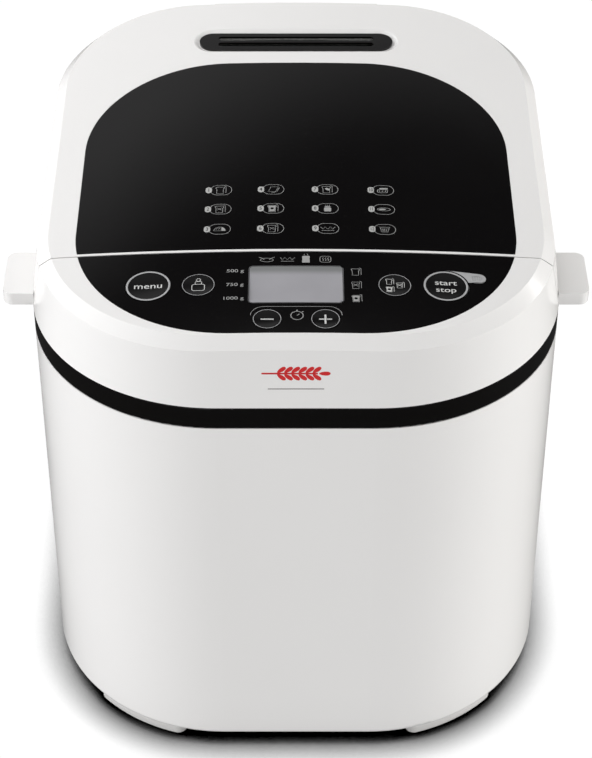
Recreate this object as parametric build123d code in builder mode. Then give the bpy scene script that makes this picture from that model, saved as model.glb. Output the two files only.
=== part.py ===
from build123d import *
from math import cos, radians, sin, sqrt, tan
import os

# Compact countertop bread machine, in millimetres.
# Frame: +Z up, the front faces -Y, the origin lies under the middle of the machine on the worktop.

# ---- Driving dimensions of the casing ----
BODY_W = 270.0          # width of the casing, without the side grips
BODY_D = 302.0          # depth of the casing at the trim band
FRONT_R = 96.0          # plan radius of the two front corners
REAR_R = 81.0           # plan radius of the two rear corners
FOOT_H = 8.5            # the casing stands this far above the worktop
BAND_BOTTOM = 228.5     # underside of the black trim band
BAND_H = 13.0           # height of the trim band
FRONT_TOP = 277.9       # height of the crowned top over the front wall
TOP_SLOPE = 3.76        # rise of the top towards the rear, degrees
CROWN_R = 1414.0        # radius of the crown across the top
HOOD_LEAN = 5.8         # the walls above the band lean in by this much at the top
EDGE_CHAMFER = 5.2      # chamfer round the top
LID_EDGE = 0.7          # upright edge of the lid under its chamfer
WALL = 2.5              # moulded walls
SKIN = 4.0              # thickness of the top mouldings
BOTTOM_ROUND = 4.5      # rounding of the casing's bottom edge
LIP_W = 14.0            # inward lip under the casing that carries the base plate
SCREW_DX = 80.0         # distance between the two base screws of one end
SCREW_INSET = 8.0       # the base screws stand this far inside the front and rear walls
SCREW_R = 1.9
SLOTS_Z = 74.0         # middle of the cooling slots in the rear wall
GLAND_X = 44.0
GLAND_Z = 36.0

# ---- Black top surface and the seam between the lid and the front moulding ----
BLACK_W = 221.2         # width of the black panel and insert
BLACK_FRONT = 11.6      # white lip in front of the control panel
BLACK_REAR_Y = 82.3     # rear edge of the lid insert
PANEL_R = 79.0          # front corners of the panel outline
INSERT_R = 74.0         # rear corners of the insert outline
SEAM_Y = -79.0          # seam between the front moulding and the lid, at the top
SEAM_RUN = 8.0          # the seam runs back by this much on its way down to the band
SEAM_GAP = 0.6          # open gap at the seam and round the lid
LID_LIP = 1.5           # white lip of the lid in front of its insert
PANEL_T = 1.2           # thickness of the control panel overlay
INSERT_T = 2.0          # thickness of the lid insert
FIT = 0.15              # gap round pieces that are let into another
KEY_FIT = 0.3           # gap round the keys, which move

# ---- Lid and hinge ----
DECK_TOP = 252.0        # level of the deck round the baking chamber
TRAY_BOTTOM = 256.0     # underside of the lid's inner cover
TRAY_W = 226.0
TRAY_FRONT_Y = -69.0
TRAY_REAR_Y = 118.0
TRAY_R = 52.0
SHEET = 1.0             # sheet metal
HINGE_Y = 140.0
HINGE_Z = 284.0
BARREL_R = 6.3
BARREL_HALF = 46.0      # half length of the lid's hinge barrel
EAR_W = 8.0
PIN_R = 2.0
RUN_FIT = 0.05          # radial running clearance
NOTCH_HALF = 58.0
NOTCH_Z = 276.0
RELIEF_HALF = 84.0      # the rear wall is cut down here so that the lid's rear edge swings clear
RELIEF_Z = 287.0
VENT_Y = 104.3
VENT_W = 107.0
VENT_H = 15.5
VENT_MARGIN = 5.0       # white bevel round the vent
VENT_DEPTH = 2.5
SLIT_W = 86.0
SLIT_H = 3.6
SLIT_PITCH = 5.6

# ---- Side grips ----
GRIP_OUT = BODY_W / 2 + 14.5
GRIP_T = 7.0
GRIP_FRONT_Y = -68.5
GRIP_REAR_Y = -33.0

# ---- Keys and display: (name, x, y, radius) ----
KEYS = [
    ("menu", -72.4, -103.3, 11.1),
    ("weight", -47.8, -103.7, 8.1),
    ("crust", 48.3, -103.9, 8.1),
    ("start_stop", 73.4, -103.3, 11.1),
    ("minus", -13.9, -129.6, 7.0),
    ("plus", 14.2, -129.6, 7.0),
]
KEY_TRAVEL = 0.8
KEY_FLANGE = 1.2
BOARD_DEPTH = 11.0      # top of the control board below the panel's surface
LCD_W = 46.2
LCD_H = 27.4
LCD_Y = -104.0
LAMP_X = 88.9
LAMP_Y = -97.0
LAMP_W = 8.0
LAMP_H = 6.0
LAMP_T = 2.5

# ---- Baking chamber, pan and drive ----
PAN_Y = 34.0            # the drive axis stands this far behind the middle
CHAMBER_W = 196.0
CHAMBER_D = 168.0
CHAMBER_R = 30.0
CHAMBER_BOTTOM = 48.0
PAN_W = 150.0
PAN_D = 130.0
PAN_R = 26.0
PAN_T = 1.4
PAN_BOTTOM = 62.0
PAN_H = 118.0
RIM_OUT = 3.0
COLLAR_R = 34.0
SOCKET_T = 3.5
BAIL_R = 68.0
BAIL_WIRE_R = 1.8
BAIL_DROP = 6.0         # pivot of the bail below the pan's rim
SHAFT_R = 4.0
PADDLE_HUB_R = 10.0
BASE_TOP = 13.5         # upper face of the base plate
PULLEY_BOTTOM = 16.5
PULLEY_T = 12.0
LARGE_R = 55.0
SMALL_R = 9.0
BELT_T = 2.0
BELT_FIT = 0.3
MOTOR_Y = -100.0
MOTOR_R = 30.0
MOTOR_BOTTOM = 44.0
MOTOR_H = 58.0
ELEMENT_R = 3.2
ELEMENT_Z = 60.0

BAND_TOP = BAND_BOTTOM + BAND_H
RISE = tan(radians(TOP_SLOPE))
SEAM_LEAN = SEAM_RUN / (FRONT_TOP - BAND_TOP)

os.makedirs("parts", exist_ok=True)


def save(builder, name):
    """Label a finished piece and write it as its own STEP."""
    builder.part.label = name
    export_step(builder.part, f"parts/{name}.step")


def shell_outline(inset=0.0, stretch=1.0):
    """Plan outline of the casing, moved in by inset."""
    Rectangle(BODY_W - 2 * inset, (BODY_D - 2 * inset) * stretch)
    fillet(vertices().group_by(Axis.Y)[0], FRONT_R - inset)
    fillet(vertices().group_by(Axis.Y)[-1], REAR_R - inset)


def outline_sketch(inset):
    """The casing's plan outline as a sketch of its own."""
    with BuildSketch() as outline:
        shell_outline(inset)
    return outline.sketch


def black_outline(inset=0.0):
    """Plan outline shared by the control panel and the lid insert."""
    front_y = BLACK_FRONT - BODY_D / 2
    with Locations((0, (front_y + BLACK_REAR_Y) / 2)):
        Rectangle(BLACK_W - 2 * inset, BLACK_REAR_Y - front_y - 2 * inset)
    fillet(vertices().group_by(Axis.Y)[0], PANEL_R - inset)
    fillet(vertices().group_by(Axis.Y)[-1], INSERT_R - inset)


def top_z(x, y):
    """Height of the crowned, sloping top at a place in plan."""
    return FRONT_TOP + RISE * (y + BODY_D / 2) - x * x / (2 * CROWN_R)


def surface_plane(x, y, depth=0.0):
    """Plane that touches the top at (x, y), moved down into it by depth."""
    normal = Vector(x / CROWN_R, -RISE, 1).normalized()
    touch = Vector(x, y, top_z(x, y)) - normal * depth
    return Plane(origin=touch, x_dir=(1, 0, -x / CROWN_R), z_dir=normal)


def below_crown(depth):
    """Everything under the crowned top moved down by depth: a very large cylinder."""
    slope = radians(TOP_SLOPE)
    middle = top_z(0, 0)
    centre = (0, CROWN_R * sin(slope), middle - CROWN_R * cos(slope))
    along = Plane(origin=centre, x_dir=(1, 0, 0), z_dir=(0, cos(slope), sin(slope)))
    with BuildPart() as disc:
        with BuildSketch(along):
            Circle(CROWN_R - depth)
        extrude(amount=BODY_D, both=True)
    return disc.part


def seam_plane(shift=0.0):
    """The seam between the front moulding and the lid; +Z of the plane points to the rear."""
    normal = Vector(0, 1, SEAM_LEAN).normalized()
    place = Vector(0, SEAM_Y, top_z(0, SEAM_Y)) + normal * shift
    return Plane(origin=place, x_dir=(1, 0, 0), z_dir=normal)


def hood(inset, depth, edge=0.0):
    """Solid upper casing from the band to the crown, walls moved in and top moved down."""
    upper = Plane(origin=(0, 0, top_z(0, 0)), x_dir=(1, 0, 0), z_dir=(0, -RISE, 1))
    with BuildPart() as block:
        with BuildSketch(Plane.XY.offset(BAND_TOP)):
            shell_outline(inset)
        with BuildSketch(upper):
            shell_outline(inset + HOOD_LEAN, stretch=sqrt(1 + RISE * RISE))
        loft()
        add(below_crown(depth), mode=Mode.INTERSECT)
        if edge:
            crown_face = faces().sort_by(Axis.Z)[-1]
            chamfer(crown_face.edges(), edge)
    return block.part


HOOD = hood(0.0, 0.0, EDGE_CHAMFER)
HOOD_INSIDE = hood(WALL, SKIN)


# ---- Lower casing: one moulding, open at the top, with a lip at the bottom ----
with BuildPart() as lower_body:
    with BuildSketch(Plane.XY.offset(FOOT_H)):
        shell_outline()
    extrude(amount=BAND_BOTTOM - FOOT_H)
    fillet(faces().sort_by(Axis.Z)[0].edges(), BOTTOM_ROUND)
    with BuildSketch(Plane.XY.offset(FOOT_H + WALL)):
        shell_outline(WALL)
    extrude(amount=BAND_BOTTOM - FOOT_H, mode=Mode.SUBTRACT)
    with BuildSketch(Plane.XY.offset(FOOT_H)):
        shell_outline(LIP_W)
    extrude(amount=WALL, mode=Mode.SUBTRACT)
    # cooling slots in the flat of the rear wall
    with BuildSketch(Plane.XZ.offset(-BODY_D / 2)):
        with Locations((0, SLOTS_Z)):
            with GridLocations(9.0, 26.0, 9, 2):
                SlotOverall(20.0, 3.6, rotation=90)
    extrude(amount=2 * WALL, both=True, mode=Mode.SUBTRACT)
    # round hole for the supply gland
    with BuildSketch(Plane.XZ.offset(-BODY_D / 2)):
        with Locations((GLAND_X, GLAND_Z)):
            Circle(7.0)
    extrude(amount=2 * WALL, both=True, mode=Mode.SUBTRACT)
    # screw holes through the lip
    with Locations((0, 0, FOOT_H)):
        with GridLocations(SCREW_DX, BODY_D - 2 * SCREW_INSET, 2, 2):
            Cylinder(SCREW_R + RUN_FIT, 4 * WALL, mode=Mode.SUBTRACT)
save(lower_body, "lower_body")

# ---- Base plate: lies on the lip, carries the drive and is held by four screws ----
with BuildPart() as base_plate:
    with BuildSketch(Plane.XY.offset(FOOT_H + WALL)):
        shell_outline(WALL + FIT)
    extrude(amount=BASE_TOP - FOOT_H - WALL)
    with BuildSketch(Plane.XY.offset(BASE_TOP)):
        with GridLocations(SCREW_DX, BODY_D - 2 * SCREW_INSET, 2, 2):
            Circle(4.5)
    extrude(amount=10)
    with BuildSketch(Plane.XY.offset(FOOT_H + WALL)):
        with GridLocations(SCREW_DX, BODY_D - 2 * SCREW_INSET, 2, 2):
            Circle(SCREW_R)
    extrude(amount=12, mode=Mode.SUBTRACT)
    # cooling slots under the left and right sides
    with BuildSketch(Plane.XY.offset(FOOT_H)):
        with GridLocations(196.0, 11.0, 2, 10):
            SlotOverall(30.0, 4.5)
    extrude(amount=2 * (BASE_TOP - FOOT_H), mode=Mode.SUBTRACT)
save(base_plate, "base_plate")


# ---- Feet: curved blocks that follow the corners of the casing, on rubber pads ----
FOOT_INSET = 4.0
FOOT_W = 15.0
FOOT_INNER_X = 60.0     # inner end of each foot
FOOT_REACH = 42.0       # how far a foot runs back from the front or rear wall
PAD_H = 1.0
PAD_INSET = 2.0
FOOT_END_R = 5.0
PAD_END_R = 2.0


def foot_outline(end, inset=0.0):
    """The two feet at one end of the casing, end = -1 in front and +1 behind."""
    reach = FOOT_REACH - inset
    shell_outline(FOOT_INSET + inset)
    add(outline_sketch(FOOT_INSET + FOOT_W - inset), mode=Mode.SUBTRACT)
    with Locations((0, end * (BODY_D - reach) / 2)):
        Rectangle(BODY_W, reach, mode=Mode.INTERSECT)
    Rectangle(2 * (FOOT_INNER_X + inset), BODY_D, mode=Mode.SUBTRACT)


def foot_ends(inset=0.0):
    """The corners at the two ends of each foot in the current sketch."""
    inner_x = FOOT_INNER_X + inset
    reach_y = BODY_D / 2 - FOOT_REACH + inset
    return vertices().filter_by(
        lambda v: abs(abs(v.X) - inner_x) < 0.01 or abs(abs(v.Y) - reach_y) < 0.01
    )


def make_feet(end, name):
    """Two feet, rounded at their ends and along the bottom."""
    with BuildPart() as feet:
        with BuildSketch(Plane.XY.offset(PAD_H)):
            foot_outline(end)
            fillet(foot_ends(), FOOT_END_R)
        extrude(amount=FOOT_H - PAD_H)
        fillet(faces().group_by(Axis.Z)[0].edges(), 1.0)
    save(feet, name)


make_feet(-1, "front_feet")
make_feet(1, "rear_feet")

with BuildPart() as foot_pads:
    for end in (-1, 1):
        with BuildSketch():
            foot_outline(end, PAD_INSET)
            fillet(foot_ends(PAD_INSET), PAD_END_R)
        extrude(amount=PAD_H)
save(foot_pads, "foot_pads")


# ---- Base screws, driven up through the lip into the base plate's bosses ----
with BuildPart() as base_screws:
    with BuildSketch(Plane.XY.offset(FOOT_H)):
        with GridLocations(SCREW_DX, BODY_D - 2 * SCREW_INSET, 2, 2):
            Circle(3.8)
    extrude(amount=-2.0)
    with BuildSketch(Plane.XY.offset(FOOT_H)):
        with GridLocations(SCREW_DX, BODY_D - 2 * SCREW_INSET, 2, 2):
            Circle(SCREW_R)
    extrude(amount=12)
save(base_screws, "base_screws")


# ---- Trim band: a gloss ring between the lower and the upper casing ----
with BuildPart() as trim_band:
    with BuildSketch(Plane.XY.offset(BAND_BOTTOM)):
        shell_outline()
    extrude(amount=BAND_H)
    fillet(edges().filter_by(Plane.XY), 0.8)
    with BuildSketch(Plane.XY.offset(BAND_BOTTOM)):
        shell_outline(WALL + 0.5)
    extrude(amount=BAND_H, mode=Mode.SUBTRACT)
save(trim_band, "trim_band")


# ---- Front moulding: collar, chamfer and the top skin under the control panel ----
def key_openings():
    """Everything that passes through the panel: keys, display and lamp."""
    with BuildPart() as openings:
        for _, x, y, radius in KEYS:
            with BuildSketch(surface_plane(x, y, 2 * SKIN)):
                Circle(radius + KEY_FIT)
        with BuildSketch(surface_plane(0, LCD_Y, 2 * SKIN)):
            Rectangle(LCD_W, LCD_H)
        with BuildSketch(surface_plane(LAMP_X, LAMP_Y, 2 * SKIN)):
            SlotOverall(LAMP_W, LAMP_H)
        extrude(amount=4 * SKIN)
    return openings.part


KEY_OPENINGS = key_openings()
BOARD_PLANE = surface_plane(0, -110.0, BOARD_DEPTH)
POSTS = [(-84.0, 20.0), (84.0, 20.0), (-26.0, -23.0), (26.0, -23.0)]

with BuildPart() as board_posts:
    with BuildSketch(BOARD_PLANE):
        with Locations(*POSTS):
            Circle(2.6)
    extrude(amount=2 * BOARD_DEPTH)
    add(below_crown(SKIN - 0.5), mode=Mode.INTERSECT)

with BuildPart() as fascia_cavity:
    add(HOOD_INSIDE)
    split(bisect_by=seam_plane(-SEAM_GAP / 2 - WALL), keep=Keep.BOTTOM)

with BuildPart() as panel_pocket:
    with BuildSketch(Plane.XY.offset(BAND_TOP)):
        black_outline()
    extrude(amount=100)
    add(below_crown(PANEL_T), mode=Mode.SUBTRACT)

with BuildPart() as front_fascia:
    add(HOOD)
    split(bisect_by=seam_plane(-SEAM_GAP / 2), keep=Keep.BOTTOM)
    add(fascia_cavity.part, mode=Mode.SUBTRACT)
    add(panel_pocket.part, mode=Mode.SUBTRACT)
    add(KEY_OPENINGS, mode=Mode.SUBTRACT)
    add(board_posts.part)
save(front_fascia, "front_fascia")


# ---- Control panel: a thin gloss overlay, flush with the top ----
with BuildPart() as control_panel:
    with BuildSketch(Plane.XY.offset(BAND_TOP)):
        black_outline(FIT)
    extrude(amount=100)
    add(below_crown(0.0), mode=Mode.INTERSECT)
    add(below_crown(PANEL_T), mode=Mode.SUBTRACT)
    split(bisect_by=seam_plane(-SEAM_GAP / 2), keep=Keep.BOTTOM)
    add(KEY_OPENINGS, mode=Mode.SUBTRACT)
save(control_panel, "control_panel")


# ---- Display: a clear window let into the panel over the display module ----
with BuildPart() as lcd_window:
    with BuildSketch(surface_plane(0, LCD_Y, SKIN)):
        Rectangle(LCD_W - 2 * FIT, LCD_H - 2 * FIT)
    extrude(amount=2 * SKIN)
    add(below_crown(0.0), mode=Mode.INTERSECT)
save(lcd_window, "lcd_window")

with BuildPart() as lcd_module:
    with BuildSketch(BOARD_PLANE):
        with Locations((0, LCD_Y + 110.0)):
            Rectangle(LCD_W + 6.0, LCD_H + 3.0)
    extrude(amount=BOARD_DEPTH - SKIN - 0.5)
save(lcd_module, "lcd_module")


# ---- Lamp beside the start key: a clear light guide ----
with BuildPart() as start_lamp:
    with BuildSketch(surface_plane(LAMP_X, LAMP_Y, LAMP_T)):
        SlotOverall(LAMP_W - 2 * FIT, LAMP_H - 2 * FIT)
    extrude(amount=2 * SKIN)
    add(below_crown(0.0), mode=Mode.INTERSECT)
save(start_lamp, "start_lamp")


# ---- Keys: round caps, each with a flange under the skin and a stem over its switch ----
FLANGE_GAP = 0.2
FLANGE_T = 1.0
STEM_END = 6.6          # lower end of a key's stem below the top surface
STEM_R = 2.4

for name, x, y, radius in KEYS:
    with BuildPart() as key:
        with BuildSketch(surface_plane(x, y, SKIN + FLANGE_GAP)):
            Circle(radius)
        extrude(amount=2 * SKIN)
        add(below_crown(0.0), mode=Mode.INTERSECT)
        with BuildSketch(surface_plane(x, y, SKIN + FLANGE_GAP)):
            Circle(radius + KEY_FLANGE)
        extrude(amount=-FLANGE_T)
        with BuildSketch(surface_plane(x, y, STEM_END)):
            Circle(STEM_R)
        extrude(amount=STEM_END - SKIN)
    save(key, f"key_{name}")


# ---- Control board: hangs on the posts, with one switch under each key ----
with BuildPart() as control_board:
    with BuildSketch(BOARD_PLANE):
        with Locations((0, 9.0)):
            Rectangle(178.0, 28.0)
        with Locations((0, -17.0)):
            Rectangle(62.0, 26.0)
    extrude(amount=-1.6)
    for _, x, y, _ in KEYS:
        with BuildSketch(surface_plane(x, y, STEM_END + KEY_TRAVEL + FLANGE_GAP)):
            Circle(3.0)
        extrude(amount=-4.0)
save(control_board, "control_board")

with BuildPart() as board_screws:
    with BuildSketch(BOARD_PLANE.offset(-1.6)):
        with Locations(*POSTS):
            Circle(2.6)
    extrude(amount=-1.6)
save(board_screws, "board_screws")


# ---- Upper housing: side and rear walls, deck round the chamber, side grips, hinge ears ----
CHAMBER_TOP = DECK_TOP - WALL

with BuildPart() as deck:
    with BuildSketch(Plane.XY.offset(CHAMBER_TOP)):
        shell_outline(WALL)
        with Locations((0, PAN_Y)):
            RectangleRounded(CHAMBER_W - 2 * SHEET, CHAMBER_D - 2 * SHEET, CHAMBER_R - SHEET, mode=Mode.SUBTRACT)
    extrude(amount=WALL)
    split(bisect_by=seam_plane(SEAM_GAP / 2), keep=Keep.TOP)

with BuildPart() as hinge_ears:
    ear_x = BARREL_HALF + 0.5 + EAR_W / 2
    with BuildSketch(Plane.YZ):
        with Locations((HINGE_Y, HINGE_Z)):
            Circle(BARREL_R - 0.3)
        with Locations((HINGE_Y, (HINGE_Z + NOTCH_Z - 8) / 2)):
            Rectangle(2 * BARREL_R - 0.6, HINGE_Z - NOTCH_Z + 8)
    extrude(amount=ear_x + EAR_W / 2, both=True)
    with BuildSketch(Plane.YZ):
        with Locations((HINGE_Y, HINGE_Z)):
            Rectangle(40, 60)
    extrude(amount=ear_x - EAR_W / 2, both=True, mode=Mode.SUBTRACT)
    add(HOOD, mode=Mode.INTERSECT)

with BuildPart() as upper_housing:
    add(HOOD)
    split(bisect_by=seam_plane(SEAM_GAP / 2), keep=Keep.TOP)
    add(below_crown(EDGE_CHAMFER + LID_EDGE + SEAM_GAP), mode=Mode.INTERSECT)
    add(HOOD_INSIDE, mode=Mode.SUBTRACT)
    # the rear wall is lower where the lid's hinge barrel lies
    with Locations((0, BODY_D / 2 - 10, NOTCH_Z)):
        Box(2 * NOTCH_HALF, 30, 30, align=(Align.CENTER, Align.CENTER, Align.MIN), mode=Mode.SUBTRACT)
    with Locations((0, BODY_D / 2 - 10, RELIEF_Z)):
        Box(2 * RELIEF_HALF, 30, 30, align=(Align.CENTER, Align.CENTER, Align.MIN), mode=Mode.SUBTRACT)
    add(deck.part)
    add(hinge_ears.part)
    # side grips
    with BuildSketch(Plane.XY.offset(BAND_TOP)):
        for side in (-1, 1):
            with Locations((side * (BODY_W / 2 - WALL + GRIP_OUT + 1) / 2, (GRIP_FRONT_Y + GRIP_REAR_Y) / 2)):
                Rectangle(GRIP_OUT - BODY_W / 2 + WALL - 1, GRIP_REAR_Y - GRIP_FRONT_Y)
        fillet(vertices().filter_by(lambda v: abs(v.X) > GRIP_OUT - 1), 5.0)
    extrude(amount=GRIP_T)
    # bores for the hinge pins
    with BuildSketch(Plane.YZ):
        with Locations((HINGE_Y, HINGE_Z)):
            Circle(PIN_R)
    extrude(amount=ear_x + EAR_W / 2, both=True, mode=Mode.SUBTRACT)
save(upper_housing, "upper_housing")


# ---- Lid: a crowned moulding with a hinge barrel, a pocket for its insert and a vent recess ----
with BuildPart() as insert_pocket:
    with BuildSketch(Plane.XY.offset(BAND_TOP)):
        black_outline()
    extrude(amount=100)
    add(below_crown(INSERT_T), mode=Mode.SUBTRACT)
    split(bisect_by=seam_plane(SEAM_GAP / 2 + LID_LIP), keep=Keep.TOP)

with BuildPart() as barrel_web:
    with Locations((0, HINGE_Y, HINGE_Z)):
        Box(2 * BARREL_HALF, 8, 12, align=(Align.CENTER, Align.CENTER, Align.MIN))
    add(below_crown(SKIN / 2), mode=Mode.INTERSECT)

with BuildPart() as vent_recess:
    with BuildSketch(surface_plane(0, VENT_Y, VENT_DEPTH)):
        SlotOverall(VENT_W + 1.0, VENT_H + 1.0)
    with BuildSketch(surface_plane(0, VENT_Y, -VENT_DEPTH)):
        SlotOverall(VENT_W + 4 * VENT_MARGIN, VENT_H + 3 * VENT_MARGIN)
    loft()

with BuildPart() as lid_frame:
    add(HOOD)
    split(bisect_by=seam_plane(SEAM_GAP / 2), keep=Keep.TOP)
    add(below_crown(EDGE_CHAMFER + LID_EDGE), mode=Mode.SUBTRACT)
    add(HOOD_INSIDE, mode=Mode.SUBTRACT)
    add(insert_pocket.part, mode=Mode.SUBTRACT)
    add(vent_recess.part, mode=Mode.SUBTRACT)
    with BuildSketch(surface_plane(0, VENT_Y, 2 * SKIN)):
        Rectangle(SLIT_W + 4, VENT_H - 4)
    extrude(amount=4 * SKIN, mode=Mode.SUBTRACT)
    add(barrel_web.part)
    with Locations((0, HINGE_Y, HINGE_Z)):
        Cylinder(BARREL_R, 2 * BARREL_HALF, rotation=(0, 90, 0))
        Cylinder(PIN_R + RUN_FIT, 2 * BARREL_HALF + 2, rotation=(0, 90, 0), mode=Mode.SUBTRACT)
save(lid_frame, "lid_frame")

with BuildPart() as lid_insert:
    with BuildSketch(Plane.XY.offset(BAND_TOP)):
        black_outline(FIT)
    extrude(amount=100)
    add(below_crown(0.0), mode=Mode.INTERSECT)
    add(below_crown(INSERT_T), mode=Mode.SUBTRACT)
    split(bisect_by=seam_plane(SEAM_GAP / 2 + LID_LIP + FIT), keep=Keep.TOP)
save(lid_insert, "lid_insert")

with BuildPart() as vent_grille:
    with BuildSketch(surface_plane(0, VENT_Y, VENT_DEPTH)):
        SlotOverall(VENT_W, VENT_H)
        with GridLocations(0, SLIT_PITCH, 1, 2):
            SlotOverall(SLIT_W, SLIT_H, mode=Mode.SUBTRACT)
    extrude(amount=VENT_DEPTH / 2)
save(vent_grille, "vent_grille")


# ---- Hinge pins: steel, held in the ears, running in the lid's barrel ----
PIN_L = 24.0

with BuildPart() as hinge_pins:
    for side in (-1, 1):
        with Locations((side * (ear_x + EAR_W / 2 - PIN_L / 2), HINGE_Y, HINGE_Z)):
            Cylinder(PIN_R, PIN_L, rotation=(0, 90, 0))
save(hinge_pins, "hinge_pins")


# ---- Lid inner cover: a sheet-metal tray under the lid, with steam holes ----
TRAY_Y = (TRAY_FRONT_Y + TRAY_REAR_Y) / 2
TRAY_D = TRAY_REAR_Y - TRAY_FRONT_Y

with BuildPart() as lid_tray:
    with BuildSketch(Plane.XY.offset(TRAY_BOTTOM)):
        with Locations((0, TRAY_Y)):
            RectangleRounded(TRAY_W, TRAY_D, TRAY_R)
    extrude(amount=60)
    add(below_crown(SKIN), mode=Mode.INTERSECT)
    with BuildSketch(Plane.XY.offset(TRAY_BOTTOM + SHEET)):
        with Locations((0, TRAY_Y)):
            RectangleRounded(TRAY_W - 2 * SHEET, TRAY_D - 2 * SHEET, TRAY_R - SHEET)
    extrude(amount=60, mode=Mode.SUBTRACT)
    with BuildSketch(Plane.XY.offset(TRAY_BOTTOM)):
        with Locations((0, VENT_Y)):
            with GridLocations(16.0, 0, 5, 1):
                SlotOverall(11.0, 5.0)
    extrude(amount=SHEET, mode=Mode.SUBTRACT)
save(lid_tray, "lid_tray")

with BuildPart() as steam_duct:
    with BuildSketch(Plane.XY.offset(TRAY_BOTTOM + SHEET)):
        with Locations((0, VENT_Y)):
            RectangleRounded(SLIT_W + 8, VENT_H + 1, 4)
            RectangleRounded(SLIT_W + 8 - 2 * WALL, VENT_H + 1 - 2 * WALL, 2, mode=Mode.SUBTRACT)
    extrude(amount=60)
    add(below_crown(SKIN), mode=Mode.INTERSECT)
save(steam_duct, "steam_duct")


# ---- Baking chamber: deep-drawn sheet with a rim that hangs under the deck ----
CHAMBER_FRONT = PAN_Y - CHAMBER_D / 2
TERMINAL_X = 12.0
SENSOR_X = 40.0
SENSOR_Z = 110.0
SENSOR_R = 3.0
SHAFT_HOLE_R = 11.0
DRIVE_R = 5.0

with BuildPart() as baking_chamber:
    with BuildSketch(Plane.XY.offset(CHAMBER_BOTTOM)):
        with Locations((0, PAN_Y)):
            RectangleRounded(CHAMBER_W, CHAMBER_D, CHAMBER_R)
    extrude(amount=CHAMBER_TOP - CHAMBER_BOTTOM)
    with BuildSketch(Plane.XY.offset(CHAMBER_TOP)):
        with Locations((0, PAN_Y)):
            RectangleRounded(CHAMBER_W + 10, CHAMBER_D + 10, CHAMBER_R + 5)
    extrude(amount=-SHEET)
    with BuildSketch(Plane.XY.offset(CHAMBER_BOTTOM + SHEET)):
        with Locations((0, PAN_Y)):
            RectangleRounded(CHAMBER_W - 2 * SHEET, CHAMBER_D - 2 * SHEET, CHAMBER_R - SHEET)
    extrude(amount=CHAMBER_TOP, mode=Mode.SUBTRACT)
    with Locations((0, PAN_Y, CHAMBER_BOTTOM)):
        Cylinder(SHAFT_HOLE_R, 4 * SHEET, mode=Mode.SUBTRACT)
    with BuildSketch(Plane.XZ.offset(-CHAMBER_FRONT)):
        with Locations((-TERMINAL_X, ELEMENT_Z), (TERMINAL_X, ELEMENT_Z)):
            Circle(ELEMENT_R)
        with Locations((SENSOR_X, SENSOR_Z)):
            Circle(SENSOR_R)
    extrude(amount=4 * SHEET, both=True, mode=Mode.SUBTRACT)
save(baking_chamber, "baking_chamber")

with BuildPart() as chamber_supports:
    with BuildSketch(Plane.XY.offset(BASE_TOP)):
        with Locations((0, PAN_Y)):
            with GridLocations(CHAMBER_W - 44, CHAMBER_D - 34, 2, 2):
                Circle(6.0)
                Circle(2.0, mode=Mode.SUBTRACT)
    extrude(amount=CHAMBER_BOTTOM - BASE_TOP)
save(chamber_supports, "chamber_supports")


# ---- Heating element: one bent tube, its two ends leave through the chamber's front ----
ELEMENT_IN = 10.0       # centre line of the tube inside the chamber's wall
ELEMENT_BEND = 24.0
TERMINAL_BEND = 10.0
TERMINAL_Y = CHAMBER_FRONT - 12.0

with BuildPart() as heating_element:
    half_w = CHAMBER_W / 2 - SHEET - ELEMENT_IN
    near_y = CHAMBER_FRONT + SHEET + ELEMENT_IN
    far_y = near_y + CHAMBER_D - 2 * SHEET - 2 * ELEMENT_IN
    with BuildLine(Plane.XY.offset(ELEMENT_Z)) as element_path:
        FilletPolyline(
            (-TERMINAL_X, TERMINAL_Y),
            (-TERMINAL_X, near_y),
            (-half_w, near_y),
            (-half_w, far_y),
            (half_w, far_y),
            (half_w, near_y),
            (TERMINAL_X, near_y),
            (TERMINAL_X, TERMINAL_Y),
            radius=TERMINAL_BEND,
        )
    with BuildSketch(Plane(origin=(-TERMINAL_X, TERMINAL_Y, ELEMENT_Z), z_dir=(0, 1, 0))):
        Circle(ELEMENT_R)
    sweep()
save(heating_element, "heating_element")

with BuildPart() as element_clips:
    ledge = ELEMENT_IN + ELEMENT_R
    for side in (-1, 1):
        with Locations((side * (CHAMBER_W / 2 - SHEET - ledge / 2), PAN_Y, ELEMENT_Z - ELEMENT_R)):
            Box(ledge, 12, 1.5, align=(Align.CENTER, Align.CENTER, Align.MAX))
        with Locations((side * 45.0, PAN_Y + CHAMBER_D / 2 - SHEET - ledge / 2, ELEMENT_Z - ELEMENT_R)):
            Box(12, ledge, 1.5, align=(Align.CENTER, Align.CENTER, Align.MAX))
save(element_clips, "element_clips")

with BuildPart() as temperature_sensor:
    with BuildSketch(Plane.XZ.offset(-CHAMBER_FRONT + 12)):
        with Locations((SENSOR_X, SENSOR_Z)):
            Circle(SENSOR_R)
    extrude(amount=-20)
    with BuildSketch(Plane.XZ.offset(-CHAMBER_FRONT)):
        with Locations((SENSOR_X, SENSOR_Z)):
            RegularPolygon(6.0, 6)
    extrude(amount=3)
save(temperature_sensor, "temperature_sensor")

with BuildPart() as thermal_fuse:
    with Locations((-SENSOR_X, CHAMBER_FRONT, SENSOR_Z)):
        Box(16, 6, 9, align=(Align.CENTER, Align.MAX, Align.CENTER))
    fillet(edges().filter_by(Axis.X), 1.5)
save(thermal_fuse, "thermal_fuse")


# ---- Pan socket and drive under the chamber ----
SOCKET_GAP = 0.4
SOCKET_FLOOR = 1.5
SOCKET_H = 9.0
SOCKET_BASE = CHAMBER_BOTTOM + SHEET

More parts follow.
